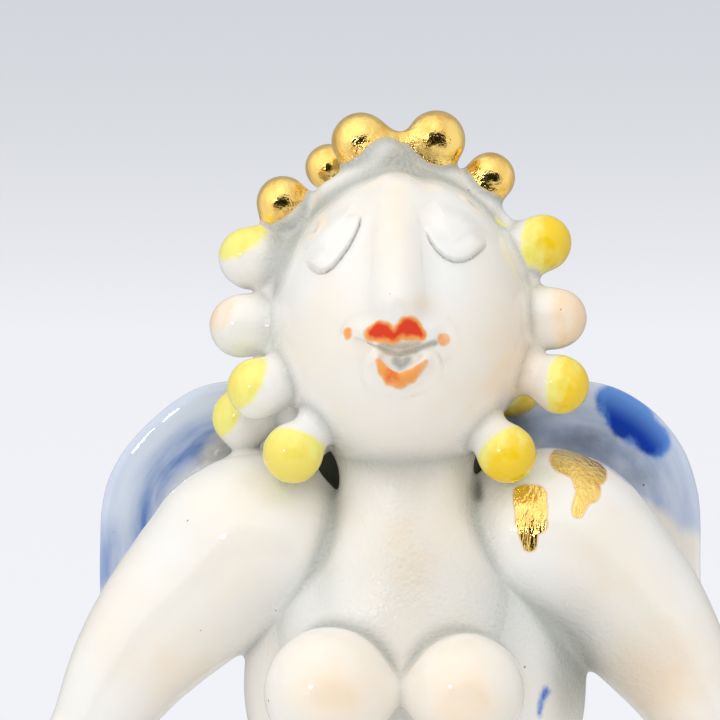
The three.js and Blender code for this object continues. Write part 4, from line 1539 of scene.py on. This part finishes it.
def mark_values(name, points, near):
    if name in curls:
        return {colour_of(name): curl_mark(points, name, near)}
    if slots[name] == "cobalt_wash":
        return wing_values(name.split("_")[1], points)
    if slots[name] == "porcelain":
        yellow = only_in_front(points, [SKULL_DAB] if name == "skull" else [], SKIN_FRONT)
        stroke = only_in_front(points, [TRUNK_STROKE] if name == "trunk" else [], SKIN_FRONT)
        return {"yellow": yellow, "dab": stroke}
    if slots[name] == "coral_glaze":
        return {"coral": lip_mark(points)}
    gold = only_in_front(points, GOLD_MARKS if name == "upper_arm_right" else [], ARM_FRONT)
    return {"coral": lip_mark(points), "gold": gold}


def store(piece, name, values):
    layer = piece.data.attributes.new(name, "FLOAT", "POINT")
    layer.data.foreach_set("value", np.asarray(values, np.float32))


print("a gold curl's marks:", *mark_values("curl_gold_4", front, measure_forms(front)))


# %% Build, paint and place every piece
def finish_piece(piece, points, name):
    near = measure_forms(points)
    # Pooled glaze and painted shade, from the joints, the face's lines and the soft spots.
    store(piece, "pool_and_shade", glaze_and_shade_depth(name, near, points))
    # Painted shade in the recesses, fading out towards the wings' backs.
    store(piece, "recess_shade", soft_spots(points, RECESS_SHADE_SPOTS) * (1 - ease(points[:, 1], *WING_BACK)))
    store(piece, "blush", soft_spots(points, BLUSH))
    for mark, values in mark_values(name, points, near).items():
        store(piece, mark, values)
    piece.data.materials.append(materials[slots[name]])
    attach(piece, "root")
    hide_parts(name)


names = [name for name in frame["nodes"] if name != "gown"]
total = 0
with ThreadPoolExecutor() as workers:
    for name, (points, quads, slope) in zip(names, workers.map(shape_piece, names)):
        finish_piece(mesh_piece(name, points, quads, slope), points, name)
        total += len(quads)
print(len(names), "clay pieces,", total, "quads")

# %% [markdown]
# ## The gown
# The gown is a hollow bell that follows a rule: its half width grows from the waist to the hem along a
# parabola, and eight soft flutes swell towards the hem. A lathe would make it round and a loft would need
# rings by hand. Geometry Nodes bend one flat grid instead: across the grid runs the turn round the bell, and
# up the grid runs the wall's whole section, from the foot up the outside, over the crown, down through the
# firing vent and back down the inside. Three short curves say what the section does along the way: how far
# down the bell it is, how deep in the wall, and how far out from the vent.

# %% The section of the wall, as steps along the grid
GOWN_WALL = 3.4
VENT_RADIUS = 2.2
SECTION = [
    (0.0, 1.0, 0.5, 1.0),
    (0.01, 1.0, 0.24, 1.0),
    (0.02, 0.9965, 0.06, 1.0),
    (0.03, 0.989, 0.0, 1.0),
    (0.48, 0.012, 0.0, 1.0),
    (0.49, 0.0035, 0.1, 1.0),
    (0.5, 0.0, 0.36, 1.0),
    (0.59, 0.0, 0.5, 0.04),
    (0.6, 0.004, 0.5, 0.0),
    (0.63, 0.052, 0.5, 0.0),
    (0.64, 0.0536, 0.5, 0.04),
    (0.69, 0.0536, 1.0, 0.95),
    (0.7, 0.06, 1.0, 1.0),
    (0.97, 0.989, 1.0, 1.0),
    (0.98, 0.9965, 0.94, 1.0),
    (0.99, 1.0, 0.76, 1.0),
    (1.0, 1.0, 0.5, 1.0),
]
TURN_STEPS = 193
SECTION_STEPS = 201
print("the bell's grid has", TURN_STEPS - 1, "x", SECTION_STEPS - 1, "faces")


# %% A curve through one column of the section
def section_curve(tree, step, column):
    node = add_node(tree, "ShaderNodeFloatCurve", {"Value": step})
    points = node.mapping.curves[0].points
    points[0].location = (SECTION[0][0], SECTION[0][column])
    points[-1].location = (SECTION[-1][0], SECTION[-1][column])
    for row in SECTION[1:-1]:
        points.new(row[0], row[column])
    for point in points:
        point.handle_type = "VECTOR"
    node.mapping.update()
    return node.outputs[0]


print("each curve has", len(SECTION), "points")

# %% The bell's node tree
BELL_LENGTHS = ["Height", "Waist Half Width", "Waist Half Depth", "Hem Radius", "Wall", "Vent Radius"]
BELL_SIZES = [*BELL_LENGTHS, "Flute Depth", "Flute Count", "Flute Start"]
MERGE_GAP = 0.00002


def gown_tree():
    tree = bpy.data.node_groups.new("fluted_bell", "GeometryNodeTree")
    tree.interface.new_socket("Geometry", in_out="INPUT", socket_type="NodeSocketGeometry")
    for label in BELL_SIZES:
        tree.interface.new_socket(label, in_out="INPUT", socket_type="NodeSocketFloat")
    tree.interface.new_socket("Glaze", in_out="INPUT", socket_type="NodeSocketMaterial")
    tree.interface.new_socket("Geometry", in_out="OUTPUT", socket_type="NodeSocketGeometry")
    sizes = add_node(tree, "NodeGroupInput").outputs
    grid_sizes = {"Size X": 1.0, "Size Y": 1.0, "Vertices X": TURN_STEPS, "Vertices Y": SECTION_STEPS}
    grid = add_node(tree, "GeometryNodeMeshGrid", grid_sizes)
    position = add_node(tree, "GeometryNodeInputPosition").outputs[0]
    place = add_node(tree, "ShaderNodeSeparateXYZ", {0: position})
    turn = maths(tree, "MULTIPLY", maths(tree, "ADD", place.outputs[0], 0.5), 2 * math.pi)
    step = maths(tree, "ADD", place.outputs[1], 0.5)
    share, inset, opened = (section_curve(tree, step, k) for k in (1, 2, 3))
    flare = maths(tree, "MULTIPLY", share, maths(tree, "SUBTRACT", 2.0, share))
    start = maths(tree, "MAXIMUM", maths(tree, "SUBTRACT", share, sizes["Flute Start"]), 0.0)
    start = maths(tree, "DIVIDE", start, maths(tree, "SUBTRACT", 1.0, sizes["Flute Start"]))
    ripple = maths(tree, "COSINE", maths(tree, "MULTIPLY", turn, sizes["Flute Count"]))
    ripple = maths(tree, "MULTIPLY", maths(tree, "MULTIPLY", start, start), ripple)
    flute = maths(tree, "MULTIPLY", ripple, sizes["Flute Depth"])
    proud = maths(tree, "SUBTRACT", flute, maths(tree, "MULTIPLY", inset, sizes["Wall"]))

    def reach(waist):
        grown = maths(tree, "MULTIPLY", maths(tree, "SUBTRACT", sizes["Hem Radius"], waist), flare)
        outside = maths(tree, "ADD", maths(tree, "ADD", waist, grown), proud)
        gap = maths(tree, "MULTIPLY", maths(tree, "SUBTRACT", outside, sizes["Vent Radius"]), opened)
        return maths(tree, "ADD", sizes["Vent Radius"], gap)

    x = maths(tree, "MULTIPLY", reach(sizes["Waist Half Width"]), maths(tree, "COSINE", turn))
    y = maths(tree, "MULTIPLY", reach(sizes["Waist Half Depth"]), maths(tree, "SINE", turn))
    z = maths(tree, "MULTIPLY", maths(tree, "SUBTRACT", 1.0, share), sizes["Height"])
    spot = add_node(tree, "ShaderNodeCombineXYZ", {0: x, 1: y, 2: z})
    bell = grid.outputs[0]
    for kind, inputs in (
        ("SetPosition", {"Position": spot.outputs[0]}),
        ("MergeByDistance", {"Distance": MERGE_GAP}),
        ("SetShadeSmooth", {}),
        ("RealizeInstances", {}),
        ("SetMaterial", {"Material": sizes["Glaze"]}),
    ):
        bell = add_node(tree, "GeometryNode" + kind, {"Geometry": bell, **inputs}).outputs[0]
    add_node(tree, "NodeGroupOutput", {0: bell})
    return tree


bell_tree = gown_tree()
print("the bell's tree has", len(bell_tree.nodes), "nodes")

# %% [markdown]
# ## The gown's painting
# One small blue comma stroke shows at the photograph's lower edge, so the gown carries a loose scatter of
# them, and a pale blue wash along its hem. A Voronoi texture drops one stroke in each cell of a net that is
# wrapped round the bell. The ring that the figure stands on is wiped clean of glaze before firing.

# %% Comma strokes
STROKES_ROUND = 13.0
STROKE_ROW = 0.0125
STROKE_BEND = 1.6
STROKE_WIDTH = 0.042
STROKE_TAPER = 0.24
STROKE_TIP = 0.004
STROKE_HALF = 0.17


def comma_strokes(tree, place):
    x, y, z = add_node(tree, "ShaderNodeSeparateXYZ", {0: place}).outputs
    round_bell = maths(tree, "MULTIPLY", maths(tree, "ARCTAN2", y, x), STROKES_ROUND / (2 * math.pi))
    net = add_node(tree, "ShaderNodeCombineXYZ", {0: round_bell, 1: maths(tree, "DIVIDE", z, STROKE_ROW)})
    inputs = {"Vector": net.outputs[0], "Scale": 1.0, "Randomness": 0.6}
    cells = add_node(tree, "ShaderNodeTexVoronoi", inputs, voronoi_dimensions="2D")
    inputs = {0: net.outputs[0], 1: cells.outputs["Position"]}
    offset = add_node(tree, "ShaderNodeVectorMath", inputs, operation="SUBTRACT")
    pick = add_node(tree, "ShaderNodeSeparateXYZ", {0: cells.outputs["Color"]}).outputs
    inputs = {"Vector": offset.outputs[0], "Angle": between(tree, pick[0], 0, 1, -0.9, 0.5)}
    lean = add_node(tree, "ShaderNodeVectorRotate", inputs, rotation_type="Z_AXIS")
    a, b, _ = add_node(tree, "ShaderNodeSeparateXYZ", {0: lean.outputs[0]}).outputs
    bend = maths(tree, "ADD", a, maths(tree, "MULTIPLY", maths(tree, "MULTIPLY", b, b), STROKE_BEND))
    width = maths(tree, "ADD", STROKE_WIDTH, maths(tree, "MULTIPLY", b, STROKE_TAPER))
    width = maths(tree, "MAXIMUM", width, STROKE_TIP)
    body = maths(tree, "SUBTRACT", 1.0, maths(tree, "ABSOLUTE", maths(tree, "DIVIDE", bend, width)))
    ends = maths(tree, "SUBTRACT", 1.0, maths(tree, "ABSOLUTE", maths(tree, "DIVIDE", b, STROKE_HALF)))
    return between(tree, maths(tree, "MINIMUM", body, ends), 0.0, 0.22, 0, 0.9), z


print("rows of strokes up the bell:", round(GOWN_HEIGHT / 1000 / STROKE_ROW, 1))

# %% The gown's glaze, with its hem wash and bare foot
STROKE_BLUE = (0.06, 0.14, 0.55, 1)
HEM_BLUE = (0.50, 0.62, 0.86, 1)
BARE_CLAY = (0.80, 0.77, 0.72, 1)
HEM_FADE = (0.0045, 0.011)
FOOT_EDGE = (0.00035, 0.0006)
BARE_ROUGHNESS = 0.75


def gown_material():
    material = glazed_material("gown_glaze")
    tree = material.node_tree
    shader = next(node for node in tree.nodes if node.type == "BSDF_PRINCIPLED")
    colour = shader.inputs["Base Color"].links[0].from_socket
    place = add_node(tree, "ShaderNodeTexCoord").outputs["Object"]
    strokes, z = comma_strokes(tree, place)
    colour = mix_colour(tree, strokes, colour, STROKE_BLUE)
    ragged = maths(tree, "ADD", z, maths(tree, "MULTIPLY", noise(tree, place, 120, 3), 0.006))
    wash = between(tree, ragged, *HEM_FADE, 0.75, 0)
    streaks = between(tree, noise(tree, place, 300, 3), 0.3, 0.7, 0.35, 1)
    colour = mix_colour(tree, maths(tree, "MULTIPLY", wash, streaks), colour, HEM_BLUE)
    foot = between(tree, z, *FOOT_EDGE, 1, 0)
    tree.links.new(mix_colour(tree, foot, colour, BARE_CLAY), shader.inputs["Base Color"])
    rough = between(tree, foot, 0, 1, GLAZE_ROUGHNESS, BARE_ROUGHNESS)
    tree.links.new(rough, shader.inputs["Roughness"])
    return material


materials["gown_glaze"] = gown_material()
print("the gown's glaze has", len(materials["gown_glaze"].node_tree.nodes), "nodes")


# %% Bend the grid into the bell and keep it as a plain mesh
def as_plain_mesh(holder, name):
    graph = bpy.context.evaluated_depsgraph_get()
    mesh = bpy.data.meshes.new_from_object(holder.evaluated_get(graph), depsgraph=graph)
    bpy.data.objects.remove(holder)
    piece = bpy.data.objects.new(name, mesh)
    bpy.context.scene.collection.objects.link(piece)
    return piece


def millimetres(*values):
    return [value / 1000 for value in values]


holder = bpy.data.objects.new("gown_holder", bpy.data.meshes.new("gown_holder"))
bpy.context.scene.collection.objects.link(holder)
bell = holder.modifiers.new("bell", "NODES")
bell.node_group = bell_tree
lengths = millimetres(GOWN_HEIGHT, *WAIST_HALF, HEM_RADIUS, GOWN_WALL, VENT_RADIUS, FLUTE_DEPTH)
bell_sizes = [*lengths, float(FLUTE_COUNT), FLUTE_START, materials["gown_glaze"]]
named_inputs = [item for item in bell.node_group.interface.items_tree if item.in_out == "INPUT"][1:]
for item, size in zip(named_inputs, bell_sizes):
    bell[item.identifier] = size
gown = as_plain_mesh(holder, "gown_glazed")
print("gown", len(gown.data.polygons), "faces")

# %% Turn the gown's faces outwards, paint it and place it
corners = np.empty(len(gown.data.vertices) * 3)
gown.data.vertices.foreach_get("co", corners)
corners = corners.reshape(-1, 3) * 1000
squares = np.array([tuple(face.vertices) for face in gown.data.polygons])
if volume_of(corners, squares) < 0:
    gown.data.flip_normals()
nearest = np.min(list(measure_forms(corners).values()), axis=0)
# Pooled glaze and painted shade where the gown meets the body.
store(gown, "pool_and_shade", np.exp(-np.maximum(nearest, 0) / POOL_AND_SHADE_WIDTH))
store(gown, "blush", np.zeros(len(corners)))
store(gown, "recess_shade", np.zeros(len(corners)))
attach(gown, "root")
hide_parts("gown")
print("gown in mm", (corners.max(0) - corners.min(0)).round(1))

# %% [markdown]
# ## Camera
# The photograph is taken level with the mouth, from half a metre, and cropped at the bust. A 180 mm lens
# takes in 90 mm at the face, which gives the photograph's framing and its flat perspective.

# %% The photograph's camera
CAMERA_PLACE = (-5.25, -455.0, 136.75)
CAMERA_LENS = 180.0
SENSOR_WIDTH = 36.0
NEAREST_SEEN = 0.01
camera_data = bpy.data.cameras.new("camera")
camera_data.lens = CAMERA_LENS
camera_data.sensor_width = SENSOR_WIDTH
camera_data.clip_start = NEAREST_SEEN
camera = bpy.data.objects.new("camera", camera_data)
camera.location = millimetres(*CAMERA_PLACE)
camera.rotation_euler = (math.radians(90), 0, 0)
bpy.context.scene.collection.objects.link(camera)
bpy.context.scene.camera = camera
print("camera", CAMERA_LENS, "mm lens at", CAMERA_PLACE)

# %% [markdown]
# ## Light
# The figurine stood in a white light tent, lit by large soft panels from above on both sides. A small lamp at
# the left makes the highlight on each ball, and one at the right only fills. The gold shows the tent's bright
# side and its dark opening round the lens. The world plays the tent. What the camera sees of it is a plain
# pale grey, what lights the clay is a soft glow from above, and what the glaze and the gold mirror has the
# tent's ceiling, its bright panel and its opening.

# %% The tent as the camera sees it
BACKDROP_LOW = (0.88, 0.895, 0.935, 1)
BACKDROP_MIDDLE = (0.865, 0.875, 0.915, 1)
BACKDROP_HIGH = (0.65, 0.67, 0.71, 1)
BACKDROP_MIDDLE_STOP = 0.52
BACKDROP_RISE = (-0.1, 0.11)


def backdrop(tree, z):
    rise = add_node(tree, "ShaderNodeValToRGB", {0: between(tree, z, *BACKDROP_RISE)})
    stops = rise.color_ramp.elements
    stops[0].color = BACKDROP_LOW
    stops[1].color = BACKDROP_HIGH
    stops.new(BACKDROP_MIDDLE_STOP).color = BACKDROP_MIDDLE
    return add_node(tree, "ShaderNodeBackground", {"Color": rise.outputs[0]})


print("the backdrop goes from", BACKDROP_LOW[:3], "up to", BACKDROP_HIGH[:3])

# %% The tent as the glaze mirrors it, and as it lights the clay
OPENING_AIM = (0.05, -0.96, -0.26)
OPENING_EDGE = (0.84, 0.94)
OPENING_RAGGED = 0.3
PANEL_AIM = (-0.5, -0.55, 0.67)
PANEL_EDGE = (0.45, 0.98)
PANEL_GLOW = (0.95, 1.45)
FILL_AIM = (-0.22, -0.42, 0.88)
FILL_GAIN = 0.84
FILL_BASE = 0.44
MIRRORED_WHITE = (1.0, 0.99, 0.975, 1)
FILL_WHITE = (1.0, 0.99, 0.97, 1)


def aimed(tree, way, aim):
    return add_node(tree, "ShaderNodeVectorMath", {0: way, 1: aim}, operation="DOT_PRODUCT").outputs["Value"]


def mirrored_tent(tree, way, y, z):
    ceiling = between(tree, z, 0.1, 0.95, 1.05, 1.0)
    behind = between(tree, y, 0.1, 0.85, 1, 0.5)
    ragged = maths(tree, "MULTIPLY", noise(tree, way, 12, 4), OPENING_RAGGED)
    ragged = maths(tree, "ADD", aimed(tree, way, OPENING_AIM), ragged)
    opening = between(tree, ragged, *OPENING_EDGE, 1, 0.01)
    glow = between(tree, aimed(tree, way, PANEL_AIM), *PANEL_EDGE, *PANEL_GLOW)
    walls = maths(tree, "MULTIPLY", ceiling, behind)
    strength = maths(tree, "MULTIPLY", walls, maths(tree, "MULTIPLY", glow, opening))
    return add_node(tree, "ShaderNodeBackground", {"Color": MIRRORED_WHITE, "Strength": strength})


def soft_fill(tree, way):
    fill = maths(tree, "MULTIPLY", aimed(tree, way, FILL_AIM), FILL_GAIN)
    fill = maths(tree, "MAXIMUM", maths(tree, "ADD", fill, FILL_BASE), 0.0)
    return add_node(tree, "ShaderNodeBackground", {"Color": FILL_WHITE, "Strength": fill})


def tent_world():
    world = bpy.data.worlds.new("light_tent")
    world.use_nodes = True
    tree = world.node_tree
    tree.nodes.clear()
    way = add_node(tree, "ShaderNodeTexCoord").outputs["Generated"]
    _, y, z = add_node(tree, "ShaderNodeSeparateXYZ", {0: way}).outputs
    seen, fill, tent = backdrop(tree, z), soft_fill(tree, way), mirrored_tent(tree, way, y, z)
    ray = add_node(tree, "ShaderNodeLightPath").outputs
    inputs = {0: ray["Is Glossy Ray"], 1: fill.outputs[0], 2: tent.outputs[0]}
    light = add_node(tree, "ShaderNodeMixShader", inputs)
    inputs = {0: ray["Is Camera Ray"], 1: light.outputs[0], 2: seen.outputs[0]}
    final = add_node(tree, "ShaderNodeMixShader", inputs)
    output = add_node(tree, "ShaderNodeOutputWorld")
    tree.links.new(final.outputs[0], output.inputs[0])
    return world


bpy.context.scene.world = tent_world()
print("the tent has", len(bpy.context.scene.world.node_tree.nodes), "nodes")

# %% The lamps
AIM = (0, -10, 125)
LAMPS = {
    "lamp_left": ((-300, -480, 240), 60, 0.24, (1, 1, 1), True),
    "lamp_right": ((340, -430, 235), 60, 0.1, (1, 1, 1), False),
    "tent_left": ((-430, -400, 720), 420, 0.42, (1, 0.99, 0.97), False),
    "tent_right": ((480, -480, 700), 380, 0.52, (0.98, 0.99, 1), False),
}


def lamp(name, place, size, power, colour, mirrored):
    data = bpy.data.lights.new(name, "AREA")
    data.shape = "DISK"
    data.size = size / 1000
    data.energy = power
    data.color = colour
    light = bpy.data.objects.new(name, data)
    light.location = millimetres(*place)
    way = light.location.copy()
    for k in range(3):
        way[k] = way[k] - AIM[k] / 1000
    light.rotation_euler = way.to_track_quat("Z", "Y").to_euler()
    light.visible_glossy = mirrored
    bpy.context.scene.collection.objects.link(light)


for name, places in LAMPS.items():
    lamp(name, *places)
    print(name, places[2], "W")
bpy.context.scene.view_settings.view_transform = "Standard"

# %% [markdown]
# ## Floor
# The floor is a wide pale disc that fades out at its rim, so that no horizon shows from any side. In the
# photograph's own view it lies below the frame.

# %% A pale floor that fades out
FLOOR_RADIUS = 0.6
FLOOR_CORNERS = 96
FLOOR_FADE = (0.18, 0.582)
FLOOR_COLOURS = ((0.86, 0.87, 0.90, 1), (0.90, 0.905, 0.93, 1))
FLOOR_ROUGHNESS = 0.8


def floor_material():
    material, tree = new_tree("pale_floor")
    place = add_node(tree, "ShaderNodeTexCoord").outputs["Object"]
    away = add_node(tree, "ShaderNodeVectorMath", {0: place}, operation="LENGTH").outputs["Value"]
    clouds = between(tree, noise(tree, place, 12, 2), 0.3, 0.7)
    colour = mix_colour(tree, clouds, *FLOOR_COLOURS)
    cloth = add_node(tree, "ShaderNodeBsdfPrincipled", {"Base Color": colour, "Roughness": FLOOR_ROUGHNESS})
    clear = add_node(tree, "ShaderNodeBsdfTransparent")
    fade = between(tree, away, *FLOOR_FADE)
    both = add_node(tree, "ShaderNodeMixShader", {0: fade, 1: cloth.outputs[0], 2: clear.outputs[0]})
    output = add_node(tree, "ShaderNodeOutputMaterial")
    tree.links.new(both.outputs[0], output.inputs[0])
    return material


turns = [2 * math.pi * k / FLOOR_CORNERS for k in range(FLOOR_CORNERS)]
rim = [(FLOOR_RADIUS * math.cos(turn), FLOOR_RADIUS * math.sin(turn), 0) for turn in turns]
floor_mesh = bpy.data.meshes.new("floor")
floor_mesh.from_pydata(rim, [], [tuple(range(FLOOR_CORNERS))])
floor_mesh.materials.append(floor_material())
floor = bpy.data.objects.new("floor", floor_mesh)
bpy.context.scene.collection.objects.link(floor)
floor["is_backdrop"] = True
print("floor", round(2 * FLOOR_RADIUS, 1), "m wide")

# %% Measure both boxes and finish
low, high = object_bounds()
boxes = {"cad": [list(cad_low), list(cad_high)], "visual": [list(low), list(high)]}
print("visual box in mm", [round(1000 * x, 2) for x in low], [round(1000 * x, 2) for x in high])
